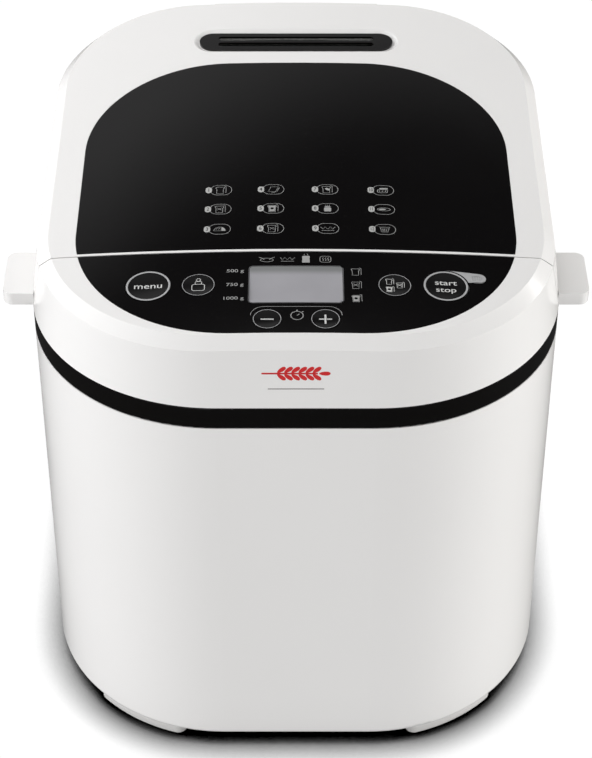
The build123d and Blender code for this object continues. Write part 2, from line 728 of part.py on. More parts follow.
with BuildPart() as pan_socket:
    with BuildSketch(Plane.XY.offset(SOCKET_BASE)):
        with Locations((0, PAN_Y)):
            Circle(COLLAR_R + SOCKET_GAP + SOCKET_T)
            Circle(SHAFT_HOLE_R, mode=Mode.SUBTRACT)
    extrude(amount=SOCKET_FLOOR)
    with BuildSketch(Plane.XY.offset(SOCKET_BASE)):
        with Locations((0, PAN_Y)):
            Circle(COLLAR_R + SOCKET_GAP + SOCKET_T)
            Circle(COLLAR_R + SOCKET_GAP, mode=Mode.SUBTRACT)
    extrude(amount=SOCKET_H)
save(pan_socket, "pan_socket")

BUSH_R = 8.0
PULLEY_TOP = PULLEY_BOTTOM + PULLEY_T

with BuildPart() as bearing_housing:
    with BuildSketch(Plane.XY.offset(CHAMBER_BOTTOM)):
        with Locations((0, PAN_Y)):
            Circle(26.0)
    extrude(amount=-3.0)
    with BuildSketch(Plane.XY.offset(CHAMBER_BOTTOM)):
        with Locations((0, PAN_Y)):
            Circle(13.0)
    extrude(amount=PULLEY_TOP + 1.0 - CHAMBER_BOTTOM)
    with Locations((0, PAN_Y, CHAMBER_BOTTOM)):
        Cylinder(BUSH_R, 2 * CHAMBER_BOTTOM, mode=Mode.SUBTRACT)
save(bearing_housing, "bearing_housing")

with BuildPart() as bearing_bush:
    with BuildSketch(Plane.XY.offset(PULLEY_TOP + 1.0)):
        with Locations((0, PAN_Y)):
            Circle(BUSH_R)
            Circle(DRIVE_R + RUN_FIT, mode=Mode.SUBTRACT)
    extrude(amount=CHAMBER_BOTTOM - PULLEY_TOP - 1.0)
save(bearing_bush, "bearing_bush")

DOG_R = 13.0
DOG_BOTTOM = SOCKET_BASE + SOCKET_FLOOR + 1.0
DOG_T = 3.0

with BuildPart() as drive_shaft:
    with BuildSketch(Plane.XY.offset(BASE_TOP + 1.0)):
        with Locations((0, PAN_Y)):
            Circle(DRIVE_R)
    extrude(amount=DOG_BOTTOM - BASE_TOP - 1.0)
save(drive_shaft, "drive_shaft")

with BuildPart() as drive_dog:
    with BuildSketch(Plane.XY.offset(DOG_BOTTOM)):
        with Locations((0, PAN_Y)):
            Circle(DOG_R)
    extrude(amount=DOG_T)
    with BuildSketch(Plane.XY.offset(DOG_BOTTOM + DOG_T)):
        with Locations((-9, PAN_Y), (9, PAN_Y)):
            Rectangle(5, 7)
    extrude(amount=4.5)
save(drive_dog, "drive_dog")

FLANGE_RIM = 2.0        # the pulleys' flanges stand out from the belt's seat
PULLEY_FLANGE = 1.2


def pulley(radius, y, hub_r, bore_r, holes):
    """Flanged belt pulley on a vertical axis at y, with lightening holes."""
    with BuildPart() as wheel:
        with BuildSketch(Plane.XY.offset(PULLEY_BOTTOM)):
            with Locations((0, y)):
                Circle(radius)
        extrude(amount=PULLEY_T)
        with BuildSketch(Plane.XY.offset(PULLEY_BOTTOM)):
            with Locations((0, y)):
                Circle(radius + FLANGE_RIM)
        extrude(amount=PULLEY_FLANGE)
        with BuildSketch(Plane.XY.offset(PULLEY_BOTTOM + PULLEY_T)):
            with Locations((0, y)):
                Circle(radius + FLANGE_RIM)
        extrude(amount=-PULLEY_FLANGE)
        if holes:
            with BuildSketch(Plane.XY.offset(PULLEY_BOTTOM)):
                with Locations((0, y)):
                    with PolarLocations((radius + hub_r) / 2, holes):
                        Circle((radius - hub_r) / 2 - 4)
            extrude(amount=PULLEY_T, mode=Mode.SUBTRACT)
        with BuildSketch(Plane.XY.offset(PULLEY_BOTTOM)):
            with Locations((0, y)):
                Circle(bore_r)
        extrude(amount=PULLEY_T, mode=Mode.SUBTRACT)
    return wheel


save(pulley(LARGE_R, PAN_Y, 14.0, DRIVE_R, 6), "large_pulley")
MOTOR_SHAFT_R = 3.0
save(pulley(SMALL_R, MOTOR_Y, 6.0, MOTOR_SHAFT_R, 0), "small_pulley")


def belt_loop(extra):
    """Outline of a loop round both pulleys, outside them by extra."""
    with BuildSketch() as loop:
        with Locations((0, PAN_Y)):
            Circle(LARGE_R + extra)
        with Locations((0, MOTOR_Y)):
            Circle(SMALL_R + extra)
        make_hull()
    return loop.sketch


with BuildPart() as belt:
    with BuildSketch(Plane.XY.offset(PULLEY_BOTTOM + PULLEY_FLANGE + BELT_FIT)):
        add(belt_loop(BELT_FIT + BELT_T))
        add(belt_loop(BELT_FIT), mode=Mode.SUBTRACT)
    extrude(amount=PULLEY_T - 2 * PULLEY_FLANGE - 2 * BELT_FIT)
save(belt, "belt")

with BuildPart() as motor:
    with BuildSketch(Plane.XY.offset(MOTOR_BOTTOM)):
        with Locations((0, MOTOR_Y)):
            Circle(MOTOR_R)
    extrude(amount=MOTOR_H)
    fillet(edges().filter_by(GeomType.CIRCLE), 3.0)
    with BuildSketch(Plane.XY.offset(MOTOR_BOTTOM)):
        with Locations((0, MOTOR_Y)):
            Circle(MOTOR_SHAFT_R + RUN_FIT)
    extrude(amount=20, mode=Mode.SUBTRACT)
save(motor, "motor")

with BuildPart() as motor_shaft:
    with BuildSketch(Plane.XY.offset(PULLEY_BOTTOM)):
        with Locations((0, MOTOR_Y)):
            Circle(MOTOR_SHAFT_R)
    extrude(amount=MOTOR_BOTTOM - PULLEY_BOTTOM + 18)
save(motor_shaft, "motor_shaft")

BRACKET_T = 2.5

with BuildPart() as motor_bracket:
    with BuildSketch(Plane.XY.offset(MOTOR_BOTTOM)):
        with Locations((0, MOTOR_Y)):
            RectangleRounded(76, 76, 6)
            Circle(8.0, mode=Mode.SUBTRACT)
    extrude(amount=-BRACKET_T)
    with BuildSketch(Plane.XY.offset(BASE_TOP)):
        with Locations((0, MOTOR_Y)):
            with GridLocations(64, 64, 2, 2):
                Circle(4.0)
    extrude(amount=MOTOR_BOTTOM - BASE_TOP - BRACKET_T)
save(motor_bracket, "motor_bracket")

with BuildPart() as motor_capacitor:
    with Locations((88.0, -62.0, BASE_TOP)):
        Cylinder(13.0, 46.0, align=(Align.CENTER, Align.CENTER, Align.MIN))
    fillet(edges().sort_by(Axis.Z)[-1], 1.5)
save(motor_capacitor, "motor_capacitor")


# ---- Power board on its frame, between the front wall and the chamber ----
POWER_Y = -72.0
POWER_W = 104.0
POWER_Z = 124.0
POWER_H = 84.0

with BuildPart() as board_frame:
    with BuildSketch(Plane.XY.offset(BASE_TOP)):
        for side in (-1, 1):
            with Locations((side * (POWER_W / 2 + 3.0), POWER_Y)):
                Rectangle(6.0, 9.0)
    extrude(amount=POWER_Z + POWER_H - BASE_TOP)
    with Locations((0, POWER_Y + 3.5, POWER_Z)):
        Box(POWER_W + 8, 2.0, 8.0, align=(Align.CENTER, Align.CENTER, Align.MAX))
save(board_frame, "board_frame")

with BuildPart() as power_board:
    with Locations((0, POWER_Y, POWER_Z)):
        Box(POWER_W, 1.6, POWER_H, align=(Align.CENTER, Align.CENTER, Align.MIN))
    with Locations((-26, POWER_Y, POWER_Z + 26)):
        Box(30, 26, 28, align=(Align.CENTER, Align.MAX, Align.CENTER))
    with Locations((26, POWER_Y, POWER_Z + 22)):
        Box(20, 16, 26, align=(Align.CENTER, Align.MAX, Align.CENTER))
    with BuildSketch(Plane.XZ.offset(-POWER_Y)):
        with Locations((-30, POWER_Z + 62), (-8, POWER_Z + 62), (18, POWER_Z + 58)):
            Circle(7.0)
    extrude(amount=18)
save(power_board, "power_board")


# ---- Supply gland in the rear wall; the lead itself isn't part of this model ----
with BuildPart() as supply_gland:
    with BuildSketch(Plane.XZ.offset(-BODY_D / 2)):
        with Locations((GLAND_X, GLAND_Z)):
            Circle(7.0)
    extrude(amount=8)
    with BuildSketch(Plane.XZ.offset(-BODY_D / 2 + WALL)):
        with Locations((GLAND_X, GLAND_Z)):
            Circle(9.0)
    extrude(amount=3)
    with BuildSketch(Plane.XZ.offset(-BODY_D / 2)):
        with Locations((GLAND_X, GLAND_Z)):
            Circle(3.6)
    extrude(amount=8, mode=Mode.SUBTRACT)
save(supply_gland, "supply_gland")


# ---- Bread pan: drawn aluminium, with a collar that seats in the socket ----
RIM_Z = PAN_BOTTOM + PAN_H
BAIL_Z = RIM_Z - BAIL_DROP
BUSH_TOP = PAN_BOTTOM + 8.0
PAN_BUSH_R = 7.0
COLLAR_T = 2.5
PIVOT_R = 2.2
BAIL_X = PAN_W / 2 + 5.7

PAN_ROUND = 6.0         # rounding between the pan's floor and its walls

with BuildPart() as pan_hollow:
    with BuildSketch(Plane.XY.offset(PAN_BOTTOM + PAN_T)):
        with Locations((0, PAN_Y)):
            RectangleRounded(PAN_W - 2 * PAN_T, PAN_D - 2 * PAN_T, PAN_R - PAN_T)
    extrude(amount=PAN_H)
    fillet(faces().sort_by(Axis.Z)[0].edges(), PAN_ROUND - PAN_T)

with BuildPart() as bread_pan:
    with BuildSketch(Plane.XY.offset(PAN_BOTTOM)):
        with Locations((0, PAN_Y)):
            RectangleRounded(PAN_W, PAN_D, PAN_R)
    extrude(amount=PAN_H)
    fillet(faces().sort_by(Axis.Z)[0].edges(), PAN_ROUND)
    with BuildSketch(Plane.XY.offset(RIM_Z)):
        with Locations((0, PAN_Y)):
            RectangleRounded(PAN_W + 2 * RIM_OUT, PAN_D + 2 * RIM_OUT, PAN_R + RIM_OUT)
    extrude(amount=-1.5)
    add(pan_hollow.part, mode=Mode.SUBTRACT)
    # collar and the pivots of the bail
    with BuildSketch(Plane.XY.offset(SOCKET_BASE + SOCKET_FLOOR + 0.3)):
        with Locations((0, PAN_Y)):
            Circle(COLLAR_R)
            Circle(COLLAR_R - COLLAR_T, mode=Mode.SUBTRACT)
    extrude(amount=PAN_BOTTOM + PAN_T - SOCKET_BASE - SOCKET_FLOOR - 0.3)
    for side in (-1, 1):
        with Locations((side * (PAN_W / 2 + 4.0), PAN_Y, BAIL_Z)):
            Cylinder(PIVOT_R, 9.4, rotation=(0, 90, 0))
        with Locations((side * (PAN_W / 2 + 8.4), PAN_Y, BAIL_Z)):
            Cylinder(PIVOT_R + 1.6, 1.0, rotation=(0, 90, 0))
    with Locations((0, PAN_Y, PAN_BOTTOM)):
        Cylinder(PAN_BUSH_R, 20, mode=Mode.SUBTRACT)
save(bread_pan, "bread_pan")

with BuildPart() as pan_bush:
    with BuildSketch(Plane.XY.offset(PAN_BOTTOM - 1.0)):
        with Locations((0, PAN_Y)):
            Circle(PAN_BUSH_R)
            Circle(SHAFT_R + RUN_FIT, mode=Mode.SUBTRACT)
    extrude(amount=BUSH_TOP - PAN_BOTTOM + 1.0)
save(pan_bush, "pan_bush")

BAIL_REST = 9.5         # the bail rests on the rim, tilted up by this angle
BAIL_CORNER = 18.0

with BuildPart() as pan_bail:
    lean = radians(BAIL_REST)
    bail_plane = Plane(origin=(0, PAN_Y, BAIL_Z), x_dir=(1, 0, 0), z_dir=(0, -sin(lean), -cos(lean)))
    with BuildLine(bail_plane):
        FilletPolyline(
            (-BAIL_X, 3.2),
            (-BAIL_X, BAIL_R),
            (BAIL_X, BAIL_R),
            (BAIL_X, 3.2),
            radius=BAIL_CORNER,
        )
    with BuildSketch(Plane(origin=bail_plane.from_local_coords((-BAIL_X, 3.2, 0)), z_dir=bail_plane.y_dir)):
        Circle(BAIL_WIRE_R)
    sweep()
    for side in (-1, 1):
        with Locations((side * BAIL_X, PAN_Y, BAIL_Z)):
            Cylinder(4.6, 3.0, rotation=(0, 90, 0))
            Cylinder(PIVOT_R + RUN_FIT, 6.0, rotation=(0, 90, 0), mode=Mode.SUBTRACT)
save(pan_bail, "pan_bail")


# ---- Kneading paddle on the pan's own shaft, with the wing that the drive turns ----
COUPLER_T = 5.0
COUPLER_BOTTOM = DOG_BOTTOM + DOG_T + 0.5
PADDLE_BOTTOM = BUSH_TOP + 0.5
PADDLE_H = 22.0
PADDLE_REACH = 52.0

with BuildPart() as pan_coupler:
    with BuildSketch(Plane.XY.offset(COUPLER_BOTTOM)):
        with Locations((0, PAN_Y)):
            Rectangle(7, 26)
            Circle(5.5)
    extrude(amount=COUPLER_T)
save(pan_coupler, "pan_coupler")

with BuildPart() as pan_shaft:
    with BuildSketch(Plane.XY.offset(COUPLER_BOTTOM + COUPLER_T)):
        with Locations((0, PAN_Y)):
            Circle(SHAFT_R)
    extrude(amount=PADDLE_BOTTOM + PADDLE_H - 2 - COUPLER_BOTTOM - COUPLER_T)
save(pan_shaft, "pan_shaft")

with BuildPart() as kneading_paddle:
    with BuildSketch(Plane.XY.offset(PADDLE_BOTTOM)):
        with Locations((0, PAN_Y)):
            Circle(PADDLE_HUB_R)
            with Locations((PADDLE_REACH / 2, 0)):
                SlotOverall(PADDLE_REACH, 7.0)
    with BuildSketch(Plane.XY.offset(PADDLE_BOTTOM + PADDLE_H)):
        with Locations((0, PAN_Y)):
            Circle(PADDLE_HUB_R - 2.5)
            with Locations((PADDLE_REACH / 2 - 6, 0)):
                SlotOverall(PADDLE_REACH - 12, 3.6)
    loft()
    with BuildSketch(Plane.XY.offset(PADDLE_BOTTOM)):
        with Locations((0, PAN_Y)):
            Circle(SHAFT_R)
    extrude(amount=PADDLE_H - 2, mode=Mode.SUBTRACT)
save(kneading_paddle, "kneading_paddle")
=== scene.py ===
import bpy
from math import cos, pi, radians, sin
from mathutils import Matrix, Vector


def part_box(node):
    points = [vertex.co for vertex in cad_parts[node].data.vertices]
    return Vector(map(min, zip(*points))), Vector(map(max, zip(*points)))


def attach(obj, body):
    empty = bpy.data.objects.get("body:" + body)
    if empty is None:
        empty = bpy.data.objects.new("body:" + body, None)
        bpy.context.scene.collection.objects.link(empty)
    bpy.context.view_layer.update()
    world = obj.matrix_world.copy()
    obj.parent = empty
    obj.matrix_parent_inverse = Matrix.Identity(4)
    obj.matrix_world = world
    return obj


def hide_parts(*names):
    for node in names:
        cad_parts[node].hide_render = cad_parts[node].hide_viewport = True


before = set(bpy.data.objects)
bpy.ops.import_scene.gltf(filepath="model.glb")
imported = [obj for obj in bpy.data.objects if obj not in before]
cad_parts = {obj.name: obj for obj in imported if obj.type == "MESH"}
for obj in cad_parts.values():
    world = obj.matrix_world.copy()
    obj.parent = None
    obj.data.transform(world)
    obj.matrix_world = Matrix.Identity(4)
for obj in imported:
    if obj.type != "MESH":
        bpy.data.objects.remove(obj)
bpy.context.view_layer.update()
MM = 0.001

# ---- Camera: a long lens in front of the machine, looking down on its sloping top ----
CAMERA_BACK = 0.8337      # from the front wall
CAMERA_UP = 0.9387
CAMERA_DOWN = 39.16       # degrees below the horizontal
LENS = 107.1

front_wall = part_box("lower_body")[0][1]
bpy.ops.object.camera_add(
    location=(0, front_wall - CAMERA_BACK, CAMERA_UP),
    rotation=(radians(90 - CAMERA_DOWN), 0, 0),
)
camera = bpy.context.object
camera.name = "camera"
camera.data.lens = LENS
camera.data.sensor_width = 36.0
bpy.context.scene.camera = camera
bpy.context.scene.view_settings.view_transform = "Standard"


# ---- Studio: a white floor, soft boxes at both sides and above, and a dim room that keeps the
# gloss black. Nothing here belongs to the machine.
def node_material(name):
    """A new material with its Principled shader, ready for nodes."""
    material = bpy.data.materials.new(name)
    material.use_nodes = True
    shader = material.node_tree.nodes["Principled BSDF"]
    return material, material.node_tree.nodes, material.node_tree.links, shader


def soft_light(name, place, target, width, height, power, colour=(1, 1, 1)):
    """A rectangular soft light that faces a target point."""
    bpy.ops.object.light_add(type="AREA", location=place)
    light = bpy.context.object
    light.name = name
    light.data.shape = "RECTANGLE"
    light.data.size = width
    light.data.size_y = height
    light.data.energy = power
    light.data.color = colour
    light.rotation_euler = (Vector(target) - Vector(place)).to_track_quat("-Z", "Y").to_euler()


SHADOW_REACH = 0.028      # the soft dark rim close round the feet, in metres
SHADOW_DARK = 0.46         # share of open sky at which the rim is black, and at which it ends
SHADOW_CLEAR = 0.88
FLOOR_GLOW = 1.02
FLOOR_IN_GLOSS = 0.03
floor_paint, nodes, links, shader = node_material("floor_paint")
shader.inputs["Base Color"].default_value = (0, 0, 0, 1)
shader.inputs["Specular IOR Level"].default_value = 0.0
shader.inputs["Emission Color"].default_value = (1, 1, 1, 1)
contact = nodes.new("ShaderNodeAmbientOcclusion")
contact.inputs["Distance"].default_value = SHADOW_REACH
contact.samples = 16
shadow = nodes.new("ShaderNodeMapRange")
shadow.inputs["From Min"].default_value = SHADOW_DARK
shadow.inputs["From Max"].default_value = SHADOW_CLEAR
shadow.inputs["To Min"].default_value = 0.0
shadow.inputs["To Max"].default_value = FLOOR_GLOW
path = nodes.new("ShaderNodeLightPath")
seen = nodes.new("ShaderNodeMapRange")
seen.inputs["To Min"].default_value = 1.0
seen.inputs["To Max"].default_value = FLOOR_IN_GLOSS
glow = nodes.new("ShaderNodeMath")
glow.operation = "MULTIPLY"
links.new(contact.outputs["AO"], shadow.inputs["Value"])
links.new(path.outputs["Is Glossy Ray"], seen.inputs["Value"])
links.new(shadow.outputs["Result"], glow.inputs[0])
links.new(seen.outputs["Result"], glow.inputs[1])
links.new(glow.outputs["Value"], shader.inputs["Emission Strength"])
bpy.ops.mesh.primitive_plane_add(size=8, location=(0, 1.0, 0))
floor = bpy.context.object
floor.name = "floor"
floor.data.materials.append(floor_paint)

MIDDLE = (0, 0, 0.16)
soft_light("left_softbox", (-1.15, -0.35, 0.80), MIDDLE, 0.9, 1.2, 6.4, (0.97, 0.98, 1.0))
soft_light("right_softbox", (1.30, 0.05, 0.32), MIDDLE, 0.8, 0.8, 12.0, (1.0, 0.99, 0.97))
soft_light("left_low", (-1.30, 0.0, 0.30), MIDDLE, 0.8, 0.8, 5.5, (0.99, 0.99, 1.0))
soft_light("front_fill", (0.0, -1.9, 0.75), MIDDLE, 1.6, 1.0, 3.8)
soft_light("overhead", (-0.35, -0.05, 1.5), MIDDLE, 0.8, 0.7, 4.6)
soft_light("lid_light", (-0.55, 0.45, 0.85), (-0.1, 0.05, 0.28), 0.4, 0.5, 1.7)
for name in ("left_softbox", "left_low", "overhead", "lid_light"):
    bpy.data.objects[name].visible_glossy = False

# The room: pale to the eye, dim in the gloss but for a soft glow high at the rear left.
ROOM_LIGHT = 0.45
ROOM_SEEN = 0.95
ROOM_IN_GLOSS = 0.018
ROOM_OPEN = 0.42
world = bpy.data.worlds.new("studio")
bpy.context.scene.world = world
world.use_nodes = True
nodes, links = world.node_tree.nodes, world.node_tree.links
backdrop = nodes["Background"]
backdrop.inputs["Color"].default_value = (1, 1, 1, 1)


def world_ramp(source, low, high, to_low=0.0, to_high=1.0):
    """A clamped straight ramp of one value."""
    ramp = nodes.new("ShaderNodeMapRange")
    for socket, value in (("From Min", low), ("From Max", high), ("To Min", to_low),
                          ("To Max", to_high)):
        ramp.inputs[socket].default_value = value
    links.new(source, ramp.inputs["Value"])
    return ramp.outputs["Result"]


def world_math(operation, *values):
    """One sum or product of values and sockets."""
    node = nodes.new("ShaderNodeMath")
    node.operation = operation
    for socket, value in zip(node.inputs, values):
        if isinstance(value, (int, float)):
            socket.default_value = value
        else:
            links.new(value, socket)
    return node.outputs["Value"]


direction = nodes.new("ShaderNodeTexCoord")
axes = nodes.new("ShaderNodeSeparateXYZ")
links.new(direction.outputs["Generated"], axes.inputs["Vector"])
slope = world_math("MULTIPLY_ADD", axes.outputs["Z"], 22.0,
                   world_math("MULTIPLY", axes.outputs["X"], 3.7))
glow = world_ramp(slope, 13.4, 14.5, 1.0, 0.0)
behind = world_ramp(axes.outputs["Y"], 0.0, 0.2)
above = world_ramp(axes.outputs["Z"], 0.34, 0.50)
glow = world_math("MULTIPLY", world_math("MULTIPLY", glow, behind), above)
high = world_math("MULTIPLY", world_ramp(axes.outputs["Z"], 0.702, 0.730, 0.0, 0.16), behind)
dim = world_math("ADD", world_math("MULTIPLY_ADD", glow, 0.38, ROOM_IN_GLOSS), high)
# the dim part lies behind the machine, where its gloss black top looks; the rest is brighter
sideways = world_math("ABSOLUTE", axes.outputs["X"])
dark = world_math("MULTIPLY", world_ramp(axes.outputs["Y"], 0.30, 0.45),
                  world_ramp(sideways, 0.35, 0.55, 1.0, 0.0))
dark = world_math("MULTIPLY", dark, world_ramp(axes.outputs["Z"], 0.80, 0.92, 1.0, 0.0))
open_room = nodes.new("ShaderNodeMix")
open_room.inputs["A"].default_value = ROOM_OPEN
links.new(dark, open_room.inputs["Factor"])
links.new(dim, open_room.inputs["B"])
gloss = open_room.outputs["Result"]
path = nodes.new("ShaderNodeLightPath")
lit = nodes.new("ShaderNodeMix")
lit.inputs["A"].default_value = ROOM_LIGHT
links.new(path.outputs["Is Glossy Ray"], lit.inputs["Factor"])
links.new(gloss, lit.inputs["B"])
seen = nodes.new("ShaderNodeMix")
seen.inputs["B"].default_value = ROOM_SEEN
links.new(path.outputs["Is Camera Ray"], seen.inputs["Factor"])
links.new(lit.outputs["Result"], seen.inputs["A"])
links.new(seen.outputs["Result"], backdrop.inputs["Strength"])


# ---- White casing: lower body, collar, lid frame and housing, gloss white ABS, injection
# moulded in a polished tool; the parts snap and screw together behind the black trim band.
def moulded_group():
    """Node group: colour drift, uneven gloss, lint and the faint orange peel of a mould."""
    group = bpy.data.node_groups.new("moulded_surface", "ShaderNodeTree")
    for title, kind in (("Colour", "NodeSocketColor"), ("Gloss Low", "NodeSocketFloat"),
                        ("Gloss High", "NodeSocketFloat"), ("Peel", "NodeSocketFloat"),
                        ("Dust", "NodeSocketFloat")):
        group.interface.new_socket(title, in_out="INPUT", socket_type=kind)
    for title, kind in (("Colour", "NodeSocketColor"), ("Roughness", "NodeSocketFloat"),
                        ("Height", "NodeSocketFloat")):
        group.interface.new_socket(title, in_out="OUTPUT", socket_type=kind)
    add, join = group.nodes.new, group.links.new
    start, end = add("NodeGroupInput"), add("NodeGroupOutput")
    where = add("ShaderNodeTexCoord")
    drift, peel, dust = (add("ShaderNodeTexNoise") for _ in range(3))
    for noise, scale, detail in ((drift, 9.0, 3.0), (peel, 420.0, 2.0), (dust, 1500.0, 1.0)):
        noise.inputs["Scale"].default_value = scale
        noise.inputs["Detail"].default_value = detail
        join(where.outputs["Object"], noise.inputs["Vector"])
    gloss = add("ShaderNodeMapRange")
    gloss.inputs["From Min"].default_value = 0.3
    gloss.inputs["From Max"].default_value = 0.7
    join(drift.outputs["Fac"], gloss.inputs["Value"])
    join(start.outputs["Gloss Low"], gloss.inputs["To Min"])
    join(start.outputs["Gloss High"], gloss.inputs["To Max"])
    speck = add("ShaderNodeMapRange")
    speck.inputs["From Min"].default_value = 0.70
    speck.inputs["From Max"].default_value = 0.78
    join(dust.outputs["Fac"], speck.inputs["Value"])
    amount = add("ShaderNodeMath")
    amount.operation = "MULTIPLY"
    join(speck.outputs["Result"], amount.inputs[0])
    join(start.outputs["Dust"], amount.inputs[1])
    mixed = add("ShaderNodeMix")
    mixed.data_type = "RGBA"
    mixed.inputs["B"].default_value = (0.45, 0.44, 0.42, 1)
    join(amount.outputs["Value"], mixed.inputs["Factor"])
    join(start.outputs["Colour"], mixed.inputs["A"])
    shade = add("ShaderNodeHueSaturation")
    level = add("ShaderNodeMapRange")
    level.inputs["To Min"].default_value = 0.98
    level.inputs["To Max"].default_value = 1.02
    join(drift.outputs["Fac"], level.inputs["Value"])
    join(level.outputs["Result"], shade.inputs["Value"])
    join(mixed.outputs["Result"], shade.inputs["Color"])
    rough = add("ShaderNodeMath")
    rough.operation = "MULTIPLY_ADD"
    join(amount.outputs["Value"], rough.inputs[0])
    rough.inputs[1].default_value = 0.3
    join(gloss.outputs["Result"], rough.inputs[2])
    height = add("ShaderNodeMath")
    height.operation = "MULTIPLY"
    join(peel.outputs["Fac"], height.inputs[0])
    join(start.outputs["Peel"], height.inputs[1])
    join(shade.outputs["Color"], end.inputs["Colour"])
    join(rough.outputs["Value"], end.inputs["Roughness"])
    join(height.outputs["Value"], end.inputs["Height"])
    return group


MOULDED = moulded_group()


def moulded(name, colour, gloss_low, gloss_high, peel=0.5, dust=0.0, metal=0.0, coat=0.0):
    """A material with the moulded surface group behind its colour, roughness and bump."""
    material, nodes, links, shader = node_material(name)
    surface = nodes.new("ShaderNodeGroup")
    surface.node_tree = MOULDED
    surface.inputs["Colour"].default_value = (*colour, 1)
    surface.inputs["Gloss Low"].default_value = gloss_low
    surface.inputs["Gloss High"].default_value = gloss_high
    surface.inputs["Peel"].default_value = peel
    surface.inputs["Dust"].default_value = dust
    bump = nodes.new("ShaderNodeBump")
    bump.inputs["Strength"].default_value = 0.12
    bump.inputs["Distance"].default_value = 0.0002
    links.new(surface.outputs["Colour"], shader.inputs["Base Color"])
    links.new(surface.outputs["Roughness"], shader.inputs["Roughness"])
    links.new(surface.outputs["Height"], bump.inputs["Height"])
    links.new(bump.outputs["Normal"], shader.inputs["Normal"])
    shader.inputs["Metallic"].default_value = metal
    shader.inputs["Coat Weight"].default_value = coat
    shader.inputs["Coat Roughness"].default_value = 0.05
    return material


def paint(material, *names):
    """Give CAD nodes their finish."""
    for name in names:
        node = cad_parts[name]
        node.data.materials.clear()
        node.data.materials.append(material)


WHITE_CASING = moulded("white_casing", (0.80, 0.79, 0.78), 0.16, 0.24, peel=0.4, dust=0.02,
                       coat=0.08)
paint(WHITE_CASING, "lower_body", "front_fascia", "upper_housing", "lid_frame")
WHITE_SATIN = moulded("white_satin", (0.74, 0.73, 0.715), 0.35, 0.45, peel=0.8, dust=0.04)
paint(WHITE_SATIN, "front_feet", "rear_feet", "base_plate")


# ---- Black gloss parts: trim band, control panel overlay, lid insert and vent, piano-black
# plastic; the overlay and the insert are glued into shallow pockets.
BLACK_GLOSS = moulded("black_gloss", (0.0032, 0.0028, 0.0030), 0.06, 0.10, peel=0.15, dust=0.03)
paint(BLACK_GLOSS, "control_panel", "lid_insert", "vent_grille")
BAND_BLACK = moulded("band_black", (0.0032, 0.0028, 0.0026), 0.12, 0.20, peel=0.3, dust=0.03)
paint(BAND_BLACK, "trim_band")


# ---- Printed marks: screen-printed grey ink on the panel, the insert and the keys. Every mark
# is laid out flat in millimetres and then settled on the curved surface below it.
INK_T = 0.012             # thickness of a print and its lift off the surface, in mm
INK_LIFT = 0.015
STRIP = 3.0               # width of the strips that a wide print is cut into


def deselect():
    bpy.ops.object.select_all(action="DESELECT")


def ink_line(points, width, closed=False):
    """A printed line: a thin flattened bead along the points."""
    data = bpy.data.curves.new("line", "CURVE")
    data.dimensions = "3D"
    data.bevel_depth = width / 2
    data.bevel_resolution = 0
    data.use_fill_caps = True
    spline = data.splines.new("POLY")
    spline.points.add(len(points) - 1)
    for point, (x, y) in zip(spline.points, points):
        point.co = (x, y, 0, 1)
    spline.use_cyclic_u = closed
    return flatten(bpy.data.objects.new("line", data))


def ink_fill(*outlines):
    """A printed patch; a second outline inside the first leaves a hole."""
    data = bpy.data.curves.new("patch", "CURVE")
    data.dimensions = "2D"
    data.fill_mode = "BOTH"
    data.extrude = INK_T
    for outline in outlines:
        spline = data.splines.new("POLY")
        spline.points.add(len(outline) - 1)
        for point, (x, y) in zip(spline.points, outline):
            point.co = (x, y, 0, 1)
        spline.use_cyclic_u = True
    return flatten(bpy.data.objects.new("patch", data), keep=True)


def ink_text(words, size, wide=1.0, bold=0.0, x=0.0, y=0.0):
    """Printed letters, centred on (x, y)."""
    bpy.ops.object.text_add()
    text = bpy.context.object
    text.data.body = words
    text.data.align_x = "CENTER"
    text.data.align_y = "CENTER"
    text.data.size = size
    text.data.offset = bold
    text.data.extrude = INK_T
    text.data.resolution_u = 4
    deselect()
    text.select_set(True)
    bpy.ops.object.convert(target="MESH")
    text.data.transform(Matrix.Translation((x, y, 0)) @ Matrix.Diagonal((wide, 1, 1, 1)))
    return text


def flatten(curve, keep=False):
    """Turn a curve into a mesh as thin as ink."""
    bpy.context.scene.collection.objects.link(curve)
    deselect()
    bpy.context.view_layer.objects.active = curve
    curve.select_set(True)
    bpy.ops.object.convert(target="MESH")
    if not keep:
        high = max(v.co.z for v in curve.data.vertices)
        curve.data.transform(Matrix.Diagonal((1, 1, INK_T / high, 1)))
    return curve


def arc(x, y, radius, start, end, steps=12):
    """Points along an arc, in degrees."""
    turn = [radians(start + (end - start) * i / steps) for i in range(steps + 1)]
    return [(x + radius * cos(a), y + radius * sin(a)) for a in turn]


def rounded(width, depth, radius, x=0.0, y=0.0, steps=5):
    """Outline of a rectangle with round corners."""
    w, d = width / 2 - radius, depth / 2 - radius
    points = []
    for cx, cy, start in ((w, d, 0), (-w, d, 90), (-w, -d, 180), (w, -d, 270)):
        points += arc(x + cx, y + cy, radius, start, start + 90, steps)
    return points


def cut_across(piece, strip=STRIP):
    """Cut a wide flat print into strips, so that it can follow the crown."""
    spots = [vertex.co.x for vertex in piece.data.vertices]
    low, high = min(spots), max(spots)
    if high - low < 2.5 * strip:
        return
    deselect()
    piece.select_set(True)
    bpy.context.view_layer.objects.active = piece
    bpy.ops.object.mode_set(mode="EDIT")
    for i in range(1, int((high - low) / strip) + 1):
        bpy.ops.mesh.select_all(action="SELECT")
        bpy.ops.mesh.bisect(plane_co=(low + i * strip, 0, 0), plane_no=(1, 0, 0))
    bpy.ops.object.mode_set(mode="OBJECT")


